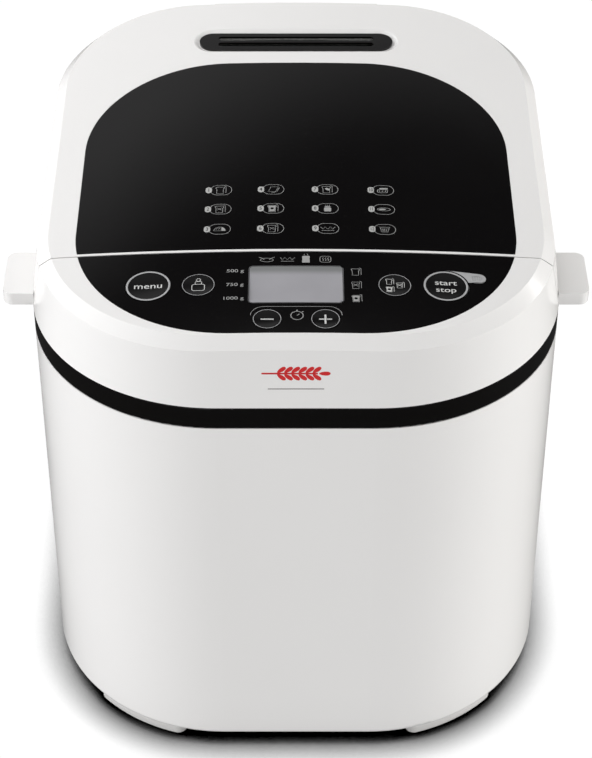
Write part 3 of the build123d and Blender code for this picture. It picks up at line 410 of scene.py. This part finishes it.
def settle(marks, name, target, x, y, material, body, lift=INK_LIFT, sideways=False):
    """Join the marks, move them to (x, y) in mm and lay each vertex on the target surface."""
    deselect()
    for mark in marks:
        mark.select_set(True)
    bpy.context.view_layer.objects.active = marks[0]
    if len(marks) > 1:
        bpy.ops.object.join()
    piece = bpy.context.view_layer.objects.active
    piece.name = name
    piece.data.materials.clear()
    piece.data.materials.append(material)
    cut_across(piece)
    lay = 0.0
    for vertex in piece.data.vertices:
        px, py, pz = (x + vertex.co.x) * MM, (y + vertex.co.y) * MM, vertex.co.z * MM
        if sideways:
            found, spot, _, _ = target.ray_cast((px, -1, py), (0, 1, 0))
            lay = spot.y if found else lay
            vertex.co = (px, lay - pz - lift * MM, py)
        else:
            found, spot, _, _ = target.ray_cast((px, py, 1), (0, 0, -1))
            lay = spot.z if found else lay
            vertex.co = (px, py, lay + pz + lift * MM)
    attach(piece, body)
    return piece


INK_GREY = moulded("ink_grey", (0.33, 0.33, 0.325), 0.45, 0.6, peel=1.0)
INK_PALE = moulded("ink_pale", (0.58, 0.58, 0.57), 0.45, 0.6, peel=1.0)
INK_BUBBLE = moulded("ink_bubble", (0.42, 0.42, 0.41), 0.45, 0.6, peel=1.0)
INK_BLACK = moulded("ink_black", (0.010, 0.010, 0.010), 0.4, 0.5, peel=1.0)
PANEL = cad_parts["control_panel"]
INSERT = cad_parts["lid_insert"]


# ---- Programme list: twelve numbered capsules with pictograms, printed on the lid insert in
# four columns of three.
CAPSULE_X = (-46.3, -19.6, 8.0, 36.5)     # left edge of each column, in mm
CAPSULE_Y = (-29.5, -45.0, -61.0)
CAPSULE_W = 10.9
CAPSULE_D = 7.9
CAPSULE_MID = 8.0                         # from a column's left edge to the capsule's middle
CAPSULE_ROUND = 3.9
BUBBLE_MID = 1.7
BUBBLE_LIFT = 3 * INK_LIFT                # the bubble covers the capsule's line, its number both
NUMBER_LIFT = 6 * INK_LIFT
FINE = 0.28                               # stroke of the fine lines


def bread_slice(x, y, size):
    """A slice of tin loaf, seen from the front."""
    w, h = 0.42 * size, 0.56 * size
    return [(x - w * 0.8, y - h), (x + w * 0.8, y - h), (x + w * 0.8, y + h * 0.2),
            *arc(x + w * 0.68, y + h * 0.62, w * 0.36, -50, 110, 5),
            *arc(x - w * 0.68, y + h * 0.62, w * 0.36, 70, 230, 5), (x - w * 0.8, y + h * 0.2)]


def slices(fill=0, x=0.0, y=0.0, size=5.0):
    """Two slices, one behind the other; the front one is open, crossed or solid."""
    marks = [ink_line(bread_slice(x - 0.5, y, size), FINE, closed=True),
             ink_line([(x + 0.30 * size, y + 0.64 * size), (x + 0.50 * size, y + 0.56 * size),
                       (x + 0.50 * size, y - 0.46 * size)], FINE)]
    if fill == 1:
        marks += [ink_line([(x - 1.6, y - 0.8), (x + 0.6, y + 1.0)], FINE),
                  ink_line([(x - 1.6, y + 1.0), (x + 0.6, y - 0.8)], FINE)]
    if fill == 2:
        marks.append(ink_fill(bread_slice(x - 0.5, y, size * 0.84),
                              rounded(1.6, 1.6, 0.5, x - 0.5, y)))
    return marks


def leaf_slices():
    leaf = [*arc(-0.9, -1.1, 2.4, 20, 80, 5), *arc(1.0, 1.5, 2.4, 200, 260, 5)]
    return slices() + [ink_fill(leaf)]


def sliding_toast():
    toast = [(-2.6, -1.9), (-1.2, 2.1), (2.6, 2.1), (1.2, -1.9)]
    return [ink_line(toast, FINE, closed=True), ink_line([(-0.9, -2.4), (0.9, -2.6)], FINE),
            ink_line([(3.1, 1.4), (1.9, -1.7)], FINE)]


def round_loaf(solid=False):
    marks = [ink_line(arc(0, -1.3, 2.9, 0, 180, 12), FINE, closed=True)]
    if solid:
        marks.append(ink_fill([(1.0, 1.6), *arc(0, -1.3, 2.9, 60, 0, 5), (1.0, -1.3)]))
    for x in (-1.5, -0.3, 0.9):
        marks.append(ink_line([(x - 0.3, -0.2), (x + 0.4, 0.8)], FINE))
    return marks


def jam_jar():
    return [ink_fill(rounded(3.6, 3.2, 0.7, 0, -0.8)), ink_fill(rounded(2.9, 0.7, 0.3, 0, 1.4)),
            *[ink_line([(x, 2.1), (x, 2.9)], FINE) for x in (-0.9, 0.0, 0.9)]]


def crown_line():
    top = [(-3.6, 1.2), (-2.4, -0.6), (-1.4, 1.3), (0.0, -0.5), (1.2, 1.4), (2.3, -0.6),
           (3.6, 1.2)]
    return [ink_line([(-3.2, -1.6), (3.2, -1.6)], FINE), ink_line(top, FINE)]


def cake():
    marks = [ink_line(rounded(5.2, 2.6, 1.0, -0.3, -0.6), FINE, closed=True),
             ink_fill(rounded(4.4, 1.0, 0.5, 0.3, 1.4))]
    return marks + [ink_fill(rounded(0.7, 0.7, 0.3, x, -0.6)) for x in (-1.8, -0.3, 1.2)]


def flat_bread():
    oval = [(3.3 * cos(a * pi / 12), 1.2 * sin(a * pi / 12)) for a in range(24)]
    inner = [(1.8 * cos(a * pi / 8) - 0.8, 0.6 * sin(a * pi / 8)) for a in range(16)]
    return [ink_line(oval, FINE, closed=True), ink_fill(inner)]


def tub():
    return [ink_line([(-2.2, 1.2), (-1.5, -2.0), (1.5, -2.0), (2.2, 1.2)], FINE),
            ink_line([(-2.6, 1.9), (2.6, 1.9), (2.2, 1.2), (-2.2, 1.2)], FINE, closed=True),
            *[ink_line([(x, 0.4), (x * 0.8, -1.4)], FINE) for x in (-1.0, 0.0, 1.0)]]


PICTOGRAMS = [
    slices, lambda: slices(1), lambda: round_loaf(True),
    sliding_toast, lambda: slices(2), lambda: slices(1),
    leaf_slices, jam_jar, crown_line,
    cake, flat_bread, tub,
]
for number, draw in enumerate(PICTOGRAMS, start=1):
    column, row = divmod(number - 1, 3)
    left, middle = CAPSULE_X[column], CAPSULE_Y[row]
    marks = [ink_line(rounded(CAPSULE_W, CAPSULE_D, CAPSULE_ROUND, 0, 0, 8), FINE, closed=True),
             *draw()]
    settle(marks, f"programme_{number}", INSERT, left + CAPSULE_MID, middle, INK_GREY, "lid")
    settle([ink_fill(rounded(3.2, 4.7, 1.55))], f"bubble_{number}", INSERT, left + BUBBLE_MID,
           middle, INK_BUBBLE, "lid", lift=BUBBLE_LIFT)
    settle([ink_text(str(number), 3.6, wide=0.62 if number > 9 else 0.8, bold=0.02)],
           f"number_{number}", INSERT, left + BUBBLE_MID, middle, INK_BLACK, "lid",
           lift=NUMBER_LIFT)


# ---- Panel print: dough weights at the left of the display, crust shades at its right, the
# four phases above it and the timer mark between the minus and plus keys.
WEIGHT_X = -26.4                          # right end of the weights, in mm
SHADE_X = 29.6
PHASE_Y = -85.0
for words, wide, y in (("500 g", 6.9, -93.6), ("750 g", 6.9, -103.9), ("1000 g", 8.4, -114.0)):
    settle([ink_text(words, 3.2, wide=1.22, bold=0.01)], f"weight_{words[:-2]}", PANEL,
           WEIGHT_X - wide / 2, y, INK_GREY, "root")
for shade, y in enumerate((-94.3, -104.3, -114.1)):
    settle(slices(shade, size=4.6), f"shade_{shade}", PANEL, SHADE_X, y, INK_GREY, "root")

kneading = [ink_line([(3.2 * cos(a * pi / 10), 1.4 * sin(a * pi / 10) - 0.6) for a in range(20)],
                     FINE, closed=True),
            ink_line([(-3.9, 1.6), (-2.4, 0.9), (-1.2, -0.4)], FINE),
            ink_line([(3.9, 1.6), (2.4, 0.9), (1.2, -0.4)], FINE)]
baking = [ink_fill([(-1.9, -2.6), (1.9, -2.6), *arc(1.0, 1.6, 1.0, -40, 110, 4),
                    *arc(-1.0, 1.6, 1.0, 70, 220, 4)]),
          *[ink_line([(x, 3.0), (x, 4.0)], FINE) for x in (-0.8, 0.8)]]
warming = [ink_line(rounded(5.4, 4.6, 1.4), FINE, closed=True),
           *[ink_line([(x, -1.3), (x + 0.4, -0.5), (x - 0.2, 0.4), (x + 0.3, 1.3)], FINE)
             for x in (-1.3, 0.0, 1.3)]]
for name, marks, x in (("kneading", kneading, -14.4), ("rising", crown_line(), -4.2),
                       ("baking", baking, 4.9), ("warming", warming, 14.5)):
    settle(marks, f"phase_{name}", PANEL, x, PHASE_Y, INK_GREY, "root")

TIMER_R = 3.0
timer = [ink_line(arc(0, 0, TIMER_R, 0, 350, 20), 0.45, closed=True),
         ink_line([(0, 0), (1.2, 1.2)], 0.45), ink_line([(0, TIMER_R), (0, TIMER_R + 1.1)], 0.7),
         ink_line([(2.4, 2.4), (3.0, 3.0)], 0.5)]
settle(timer, "timer_mark", PANEL, 0.5, -127.0, INK_GREY, "root")
reach = [*arc(-15.6, -126.7, 6.3, 178, 95, 6), *arc(15.9, -126.7, 6.3, 85, 2, 6)]
settle([ink_line(reach, FINE)], "timer_line", PANEL, 0, 0, INK_GREY, "root")


# ---- Keys: round caps in satin black, slightly dished, each turned from one profile with its
# flange and stem, and a silver ring printed on the rim.
KEY_BLACK = moulded("key_black", (0.0045, 0.0042, 0.0044), 0.12, 0.18, peel=0.3, dust=0.02)
SILVER_INK = moulded("silver_ink", (0.44, 0.44, 0.445), 0.32, 0.42, peel=0.6, metal=0.2)
KEY_STEPS = 72
KEY_DISH = 0.35
FLANGE_TOP = 4.2
FLANGE_END = 5.2
STEM_END = 6.6
STEM_R = 2.4
FLANGE_W = 1.2


def turned(name, profile, steps=KEY_STEPS):
    """Spin a profile of (radius, height), in mm, a full turn about the Z axis."""
    mesh = bpy.data.meshes.new(name)
    mesh.from_pydata([(r * MM, 0, z * MM) for r, z in profile],
                     [(i, i + 1) for i in range(len(profile) - 1)], [])
    piece = bpy.data.objects.new(name, mesh)
    bpy.context.scene.collection.objects.link(piece)
    deselect()
    bpy.context.view_layer.objects.active = piece
    piece.select_set(True)
    bpy.ops.object.mode_set(mode="EDIT")
    bpy.ops.mesh.select_all(action="SELECT")
    bpy.ops.mesh.spin(steps=steps, angle=2 * pi, center=(0, 0, 0), axis=(0, 0, 1))
    bpy.ops.mesh.select_all(action="SELECT")
    bpy.ops.mesh.remove_doubles(threshold=0.000002)
    bpy.ops.mesh.normals_make_consistent(inside=False)
    bpy.ops.object.mode_set(mode="OBJECT")
    bpy.ops.object.shade_smooth_by_angle(angle=radians(35))
    return piece


def seat(piece, spot, normal):
    """Stand a piece on a spot with its Z axis along a normal; its place goes into its mesh."""
    across = (Vector((1, 0, 0)) - normal * normal.x).normalized()
    turn = Matrix((across, normal.cross(across), normal)).transposed().to_4x4()
    piece.data.transform(Matrix.Translation(spot) @ turn)


KEY_MARKS = {
    "menu": 1.2, "weight": 0.5, "crust": 0.5, "start_stop": 1.2, "minus": 0.5, "plus": 0.5,
}
CAPS = {}
for name, stroke in KEY_MARKS.items():
    low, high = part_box(f"key_{name}")
    radius = (high.x - low.x) / 2 / MM - FLANGE_W
    middle = (low + high) / 2
    _, spot, normal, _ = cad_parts[f"key_{name}"].ray_cast(
        (middle.x, middle.y, 1), (0, 0, -1))
    inner = radius - stroke
    dish = [(inner * i / 8, -KEY_DISH * (1 - (i / 8) ** 2)) for i in range(9)]
    cap = turned(f"cap_{name}", [
        *dish, (radius - 0.25, 0.0), (radius - 0.07, -0.07), (radius, -0.25),
        (radius, -FLANGE_TOP), (radius + FLANGE_W, -FLANGE_TOP), (radius + FLANGE_W, -FLANGE_END),
        (STEM_R, -FLANGE_END), (STEM_R, -STEM_END), (0.0, -STEM_END)])
    seat(cap, spot, normal)
    cap.data.materials.append(KEY_BLACK)
    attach(cap, f"key_{name}")
    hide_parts(f"key_{name}")
    CAPS[name] = (cap, middle.x / MM, middle.y / MM)
    ring = turned(f"ring_{name}", [
        (inner, 0.0), (inner + 0.06, 0.03), (radius - 0.28, 0.03), (radius - 0.22, 0.0)])
    seat(ring, spot, normal)
    ring.data.materials.append(SILVER_INK)
    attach(ring, f"key_{name}")
paint(KEY_BLACK, *[f"key_{name}" for name in KEY_MARKS])

bar = [ink_line([(-3.1, 0), (3.1, 0)], 1.0)]
cross = [ink_line([(-3.1, 0), (3.1, 0)], 1.0), ink_line([(0, -3.3), (0, 3.3)], 1.0)]
kitchen_weight = [ink_line(rounded(6.2, 4.8, 1.2, 0, -1.7), 0.4, closed=True),
                  ink_line(rounded(3.2, 2.0, 0.8, 0, 1.7), 0.4, closed=True),
                  ink_line(arc(0, 3.8, 1.0, -60, 240, 10), 0.4, closed=True)]
crust_slices = (slices(0, -2.2, 2.7, 3.6) + slices(1, 2.9, 0.2, 3.6) + slices(2, -2.2, -3.0, 3.6))
for name, marks in (("menu", [ink_text("menu", 5.5, wide=1.16, bold=0.03)]),
                    ("start_stop", [ink_text("start", 5.0, wide=1.16, bold=0.03, y=2.5),
                                    ink_text("stop", 5.0, wide=1.16, bold=0.03, y=-2.7)]),
                    ("minus", bar), ("plus", cross), ("weight", kitchen_weight),
                    ("crust", crust_slices)):
    cap, x, y = CAPS[name]
    settle(marks, f"mark_{name}", cap, x, y, INK_PALE, f"key_{name}")


# ---- Start lamp: a clear light guide beside the start key, under a silver printed tongue that
# runs off the key's ring; fine holes in the print let the light through.
LAMP_SILVER, nodes, links, shader = node_material("lamp_silver")
where = nodes.new("ShaderNodeTexCoord")
dots = nodes.new("ShaderNodeTexVoronoi")
dots.inputs["Scale"].default_value = 900.0
dots.inputs["Randomness"].default_value = 0.0
holes = nodes.new("ShaderNodeMapRange")
holes.inputs["From Min"].default_value = 0.25
holes.inputs["From Max"].default_value = 0.40
tint = nodes.new("ShaderNodeMix")
tint.data_type = "RGBA"
tint.inputs["A"].default_value = (0.24, 0.24, 0.24, 1)
tint.inputs["B"].default_value = (0.40, 0.40, 0.405, 1)
links.new(where.outputs["Object"], dots.inputs["Vector"])
links.new(dots.outputs["Distance"], holes.inputs["Value"])
links.new(holes.outputs["Result"], tint.inputs["Factor"])
links.new(tint.outputs["Result"], shader.inputs["Base Color"])
shader.inputs["Roughness"].default_value = 0.35
paint(LAMP_SILVER, "start_lamp")

lamp_low, lamp_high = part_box("start_lamp")
lamp_x, lamp_y = (lamp_low + lamp_high).x / 2 / MM, (lamp_low + lamp_high).y / 2 / MM
lamp_end = lamp_high.x / MM
_, start_x, start_y = CAPS["start_stop"]
START_R = 11.45                           # edge of the hole for the start key
TONGUE_R = 3.4
tongue = [*arc(start_x, start_y, START_R + 0.2, 16, 88, 18),
          *arc(lamp_end + 0.4 - TONGUE_R, lamp_y + 0.5, TONGUE_R, 90, -90, 12)]
opening = rounded(5.4, 3.4, 1.6, lamp_x - 0.1, lamp_y + 0.2)
settle([ink_fill(tongue, opening)], "lamp_tongue", PANEL, 0, 0, SILVER_INK, "root")


# ---- Display: a clear window over a plain grey liquid-crystal cell with round corners and a fine
# grey edge line; along its upper edge the cell is painted darker, a painted shadow of the frame.
EDGE_GREY = moulded("edge_grey", (0.12, 0.12, 0.125), 0.30, 0.40, peel=0.6)
DISPLAY, nodes, links, shader = node_material("display_cell")
where = nodes.new("ShaderNodeTexCoord")
split = nodes.new("ShaderNodeSeparateXYZ")
# painted shadow: this ramp on the cell's height turns its grey dark within 7.5 mm of its upper
# edge
depth = nodes.new("ShaderNodeMapRange")
display_low, display_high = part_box("lcd_window")
depth.inputs["From Min"].default_value = display_high.y - 0.0075
depth.inputs["From Max"].default_value = display_high.y - 0.0020
depth.interpolation_type = "SMOOTHSTEP"
cells = nodes.new("ShaderNodeTexNoise")
cells.inputs["Scale"].default_value = 60.0
# A is the cell's own grey, B the darker grey of the painted shadow along its upper edge
tone = nodes.new("ShaderNodeMix")
tone.data_type = "RGBA"
tone.inputs["A"].default_value = (0.335, 0.33, 0.35, 1)
tone.inputs["B"].default_value = (0.19, 0.195, 0.195, 1)
level = nodes.new("ShaderNodeMapRange")
level.inputs["To Min"].default_value = 0.92
level.inputs["To Max"].default_value = 1.08
shade = nodes.new("ShaderNodeHueSaturation")
links.new(where.outputs["Object"], split.inputs["Vector"])
links.new(where.outputs["Object"], cells.inputs["Vector"])
links.new(split.outputs["Y"], depth.inputs["Value"])
links.new(depth.outputs["Result"], tone.inputs["Factor"])
links.new(cells.outputs["Fac"], level.inputs["Value"])
links.new(level.outputs["Result"], shade.inputs["Value"])
links.new(tone.outputs["Result"], shade.inputs["Color"])
links.new(shade.outputs["Color"], shader.inputs["Base Color"])
shader.inputs["Roughness"].default_value = 0.22
display_w = (display_high.x - display_low.x) / MM
display_d = (display_high.y - display_low.y) / MM
display_x = (display_high.x + display_low.x) / 2 / MM
display_y = (display_high.y + display_low.y) / 2 / MM
paint(BLACK_GLOSS, "lcd_window")
settle([ink_fill(rounded(display_w - 0.4, display_d - 0.4, 1.9))], "display_cell",
       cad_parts["lcd_window"], display_x, display_y, DISPLAY, "root")
bezel = ink_line(rounded(display_w + 0.3, display_d + 0.3, 2.2), 0.35, closed=True)
settle([bezel], "display_edge", PANEL, display_x, display_y, EDGE_GREY, "root")


# ---- Emblem: a red wheat sprig over a thin grey line, printed on the front of the collar.
EMBLEM_RED = moulded("emblem_red", (0.62, 0.010, 0.012), 0.30, 0.40, peel=0.6)
EMBLEM_GREY = moulded("emblem_grey", (0.22, 0.20, 0.20), 0.35, 0.45, peel=0.6)


GRAIN_POINTS = 12
SPRIG_Z = 260.6                           # height of the stalk and of the line, in mm
LINE_Z = 252.2


def grain_of_wheat(x, y, lean, length=5.0, wide=1.35):
    """A pointed grain that leans from the stalk."""
    a = radians(lean)
    points = []
    for i in range(GRAIN_POINTS):
        t = 2 * pi * i / GRAIN_POINTS
        along, across = length / 2 * cos(t), wide * sin(t) * (0.62 + 0.38 * cos(t / 2) ** 2)
        points.append((x + (along + length / 2) * cos(a) - across * sin(a),
                       y + (along + length / 2) * sin(a) + across * cos(a)))
    return points


sprig = [ink_line([(-16.5, SPRIG_Z), (10.5, SPRIG_Z)], 0.9)]
for i in range(6):
    for side in (1, -1):
        sprig.append(ink_fill(grain_of_wheat(-9.0 + 3.4 * i, SPRIG_Z + 0.5 * side, 36 * side)))
sprig.append(ink_fill(grain_of_wheat(11.0, SPRIG_Z, 0, 5.6)))
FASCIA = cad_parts["front_fascia"]
settle(sprig, "emblem_sprig", FASCIA, 0, 0, EMBLEM_RED, "root", sideways=True)
settle([ink_line([(-13.5, LINE_Z), (13.5, LINE_Z)], 0.5)], "emblem_line", FASCIA, 0, 0,
       EMBLEM_GREY, "root", sideways=True)


# ---- Rating plate: a blank satin foil with an embossed border, let into the rear wall above the
# air slots.
FOIL = moulded("plate_foil", (0.50, 0.50, 0.51), 0.35, 0.50, peel=0.8, metal=0.6)
PLATE_W = 0.062
PLATE_H = 0.030
PLATE_T = 0.0003
PLATE_Z = 0.165
PLATE_ROUND = 0.0025
PLATE_SUNK = 0.00002      # its face lies this far under the wall's skin, so it doesn't show
rear_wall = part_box("lower_body")[1].y
bpy.ops.mesh.primitive_cube_add(size=1, location=(0, 0, 0))
plate = bpy.context.object
plate.name = "rating_plate"
bpy.ops.object.mode_set(mode="EDIT")
bpy.ops.mesh.select_all(action="SELECT")
bpy.ops.transform.resize(value=(PLATE_W, PLATE_T, PLATE_H))
bpy.ops.object.mode_set(mode="OBJECT")
corners = plate.modifiers.new("corners", "BEVEL")
corners.width = PLATE_ROUND
corners.segments = 4
corners.limit_method = "WEIGHT"
edges = [edge for edge in plate.data.edges
         if abs(plate.data.vertices[edge.vertices[0]].co.y
                - plate.data.vertices[edge.vertices[1]].co.y) > PLATE_T / 2]
weights = plate.data.attributes.new("bevel_weight_edge", "FLOAT", "EDGE")
for edge in edges:
    weights.data[edge.index].value = 1.0
bpy.ops.object.modifier_apply(modifier="corners")
deselect()
plate.select_set(True)
bpy.ops.object.mode_set(mode="EDIT")
bpy.ops.mesh.select_mode(type="FACE")
bpy.ops.mesh.select_all(action="DESELECT")
bpy.ops.object.mode_set(mode="OBJECT")
for face in plate.data.polygons:
    face.select = face.normal.y > 0.9
bpy.ops.object.mode_set(mode="EDIT")
bpy.ops.mesh.inset(thickness=0.0015)
bpy.ops.mesh.inset(thickness=0.0004, depth=-0.00012)
bpy.ops.object.mode_set(mode="OBJECT")
plate.data.transform(Matrix.Translation((0, rear_wall - PLATE_T / 2 - PLATE_SUNK, PLATE_Z)))
plate.data.materials.append(FOIL)
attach(plate, "root")


# ---- Hidden and working parts: sheet metal, shafts, board and rubber, each in its own finish.
def metal(name, colour, rough_low, rough_high, stretch=(1, 1, 1), scale=300.0, metallic=1.0):
    """Bare or plated metal: noise stretched along the rolling or turning direction."""
    material, nodes, links, shader = node_material(name)
    where = nodes.new("ShaderNodeTexCoord")
    along = nodes.new("ShaderNodeMapping")
    along.inputs["Scale"].default_value = stretch
    lines = nodes.new("ShaderNodeTexNoise")
    lines.inputs["Scale"].default_value = scale
    lines.inputs["Detail"].default_value = 4.0
    blotch = nodes.new("ShaderNodeTexNoise")
    blotch.inputs["Scale"].default_value = 14.0
    rough = nodes.new("ShaderNodeMapRange")
    rough.inputs["To Min"].default_value = rough_low
    rough.inputs["To Max"].default_value = rough_high
    level = nodes.new("ShaderNodeMapRange")
    level.inputs["To Min"].default_value = 0.88
    level.inputs["To Max"].default_value = 1.08
    shade = nodes.new("ShaderNodeHueSaturation")
    shade.inputs["Color"].default_value = (*colour, 1)
    bump = nodes.new("ShaderNodeBump")
    bump.inputs["Strength"].default_value = 0.15
    bump.inputs["Distance"].default_value = 0.0002
    links.new(where.outputs["Object"], along.inputs["Vector"])
    links.new(where.outputs["Object"], blotch.inputs["Vector"])
    links.new(along.outputs["Vector"], lines.inputs["Vector"])
    links.new(lines.outputs["Fac"], rough.inputs["Value"])
    links.new(blotch.outputs["Fac"], level.inputs["Value"])
    links.new(level.outputs["Result"], shade.inputs["Value"])
    links.new(shade.outputs["Color"], shader.inputs["Base Color"])
    links.new(rough.outputs["Result"], shader.inputs["Roughness"])
    links.new(lines.outputs["Fac"], bump.inputs["Height"])
    links.new(bump.outputs["Normal"], shader.inputs["Normal"])
    shader.inputs["Metallic"].default_value = metallic
    return material


SHEET_STEEL = metal("sheet_steel", (0.58, 0.58, 0.57), 0.25, 0.45, stretch=(1, 1, 12))
paint(SHEET_STEEL, "baking_chamber", "lid_tray", "steam_duct", "motor_bracket", "board_frame")
BRIGHT_STEEL = metal("bright_steel", (0.66, 0.66, 0.65), 0.12, 0.28, stretch=(1, 1, 6))
paint(BRIGHT_STEEL, "pan_bail", "hinge_pins", "drive_shaft", "motor_shaft", "pan_shaft",
      "base_screws", "board_screws", "temperature_sensor", "element_clips")
SHEATH = metal("element_sheath", (0.10, 0.10, 0.095), 0.45, 0.60, metallic=0.8)
paint(SHEATH, "heating_element")
COATING = metal("pan_coating", (0.055, 0.055, 0.058), 0.35, 0.50, scale=1800.0, metallic=0.35)
paint(COATING, "bread_pan", "kneading_paddle")
DIE_CAST = metal("die_cast", (0.42, 0.42, 0.41), 0.40, 0.60, scale=600.0)
paint(DIE_CAST, "pan_socket", "bearing_housing", "drive_dog", "pan_coupler", "small_pulley")
BRONZE = metal("bronze", (0.55, 0.36, 0.16), 0.30, 0.45)
paint(BRONZE, "bearing_bush", "pan_bush")
MOTOR_CASE = metal("motor_case", (0.30, 0.31, 0.32), 0.30, 0.45, stretch=(1, 1, 20))
paint(MOTOR_CASE, "motor", "motor_capacitor", "thermal_fuse", "chamber_supports")
BLACK_PLASTIC = moulded("black_plastic", (0.020, 0.020, 0.021), 0.45, 0.60, peel=1.0, dust=0.1)
paint(BLACK_PLASTIC, "large_pulley", "supply_gland", "lcd_module")
RUBBER = moulded("rubber", (0.030, 0.029, 0.028), 0.75, 0.90, peel=1.0, dust=0.25)
paint(RUBBER, "foot_pads", "belt")
BOARD_GREEN = moulded("board_green", (0.015, 0.11, 0.045), 0.30, 0.40, peel=0.6, dust=0.05)
paint(BOARD_GREEN, "control_board", "power_board")
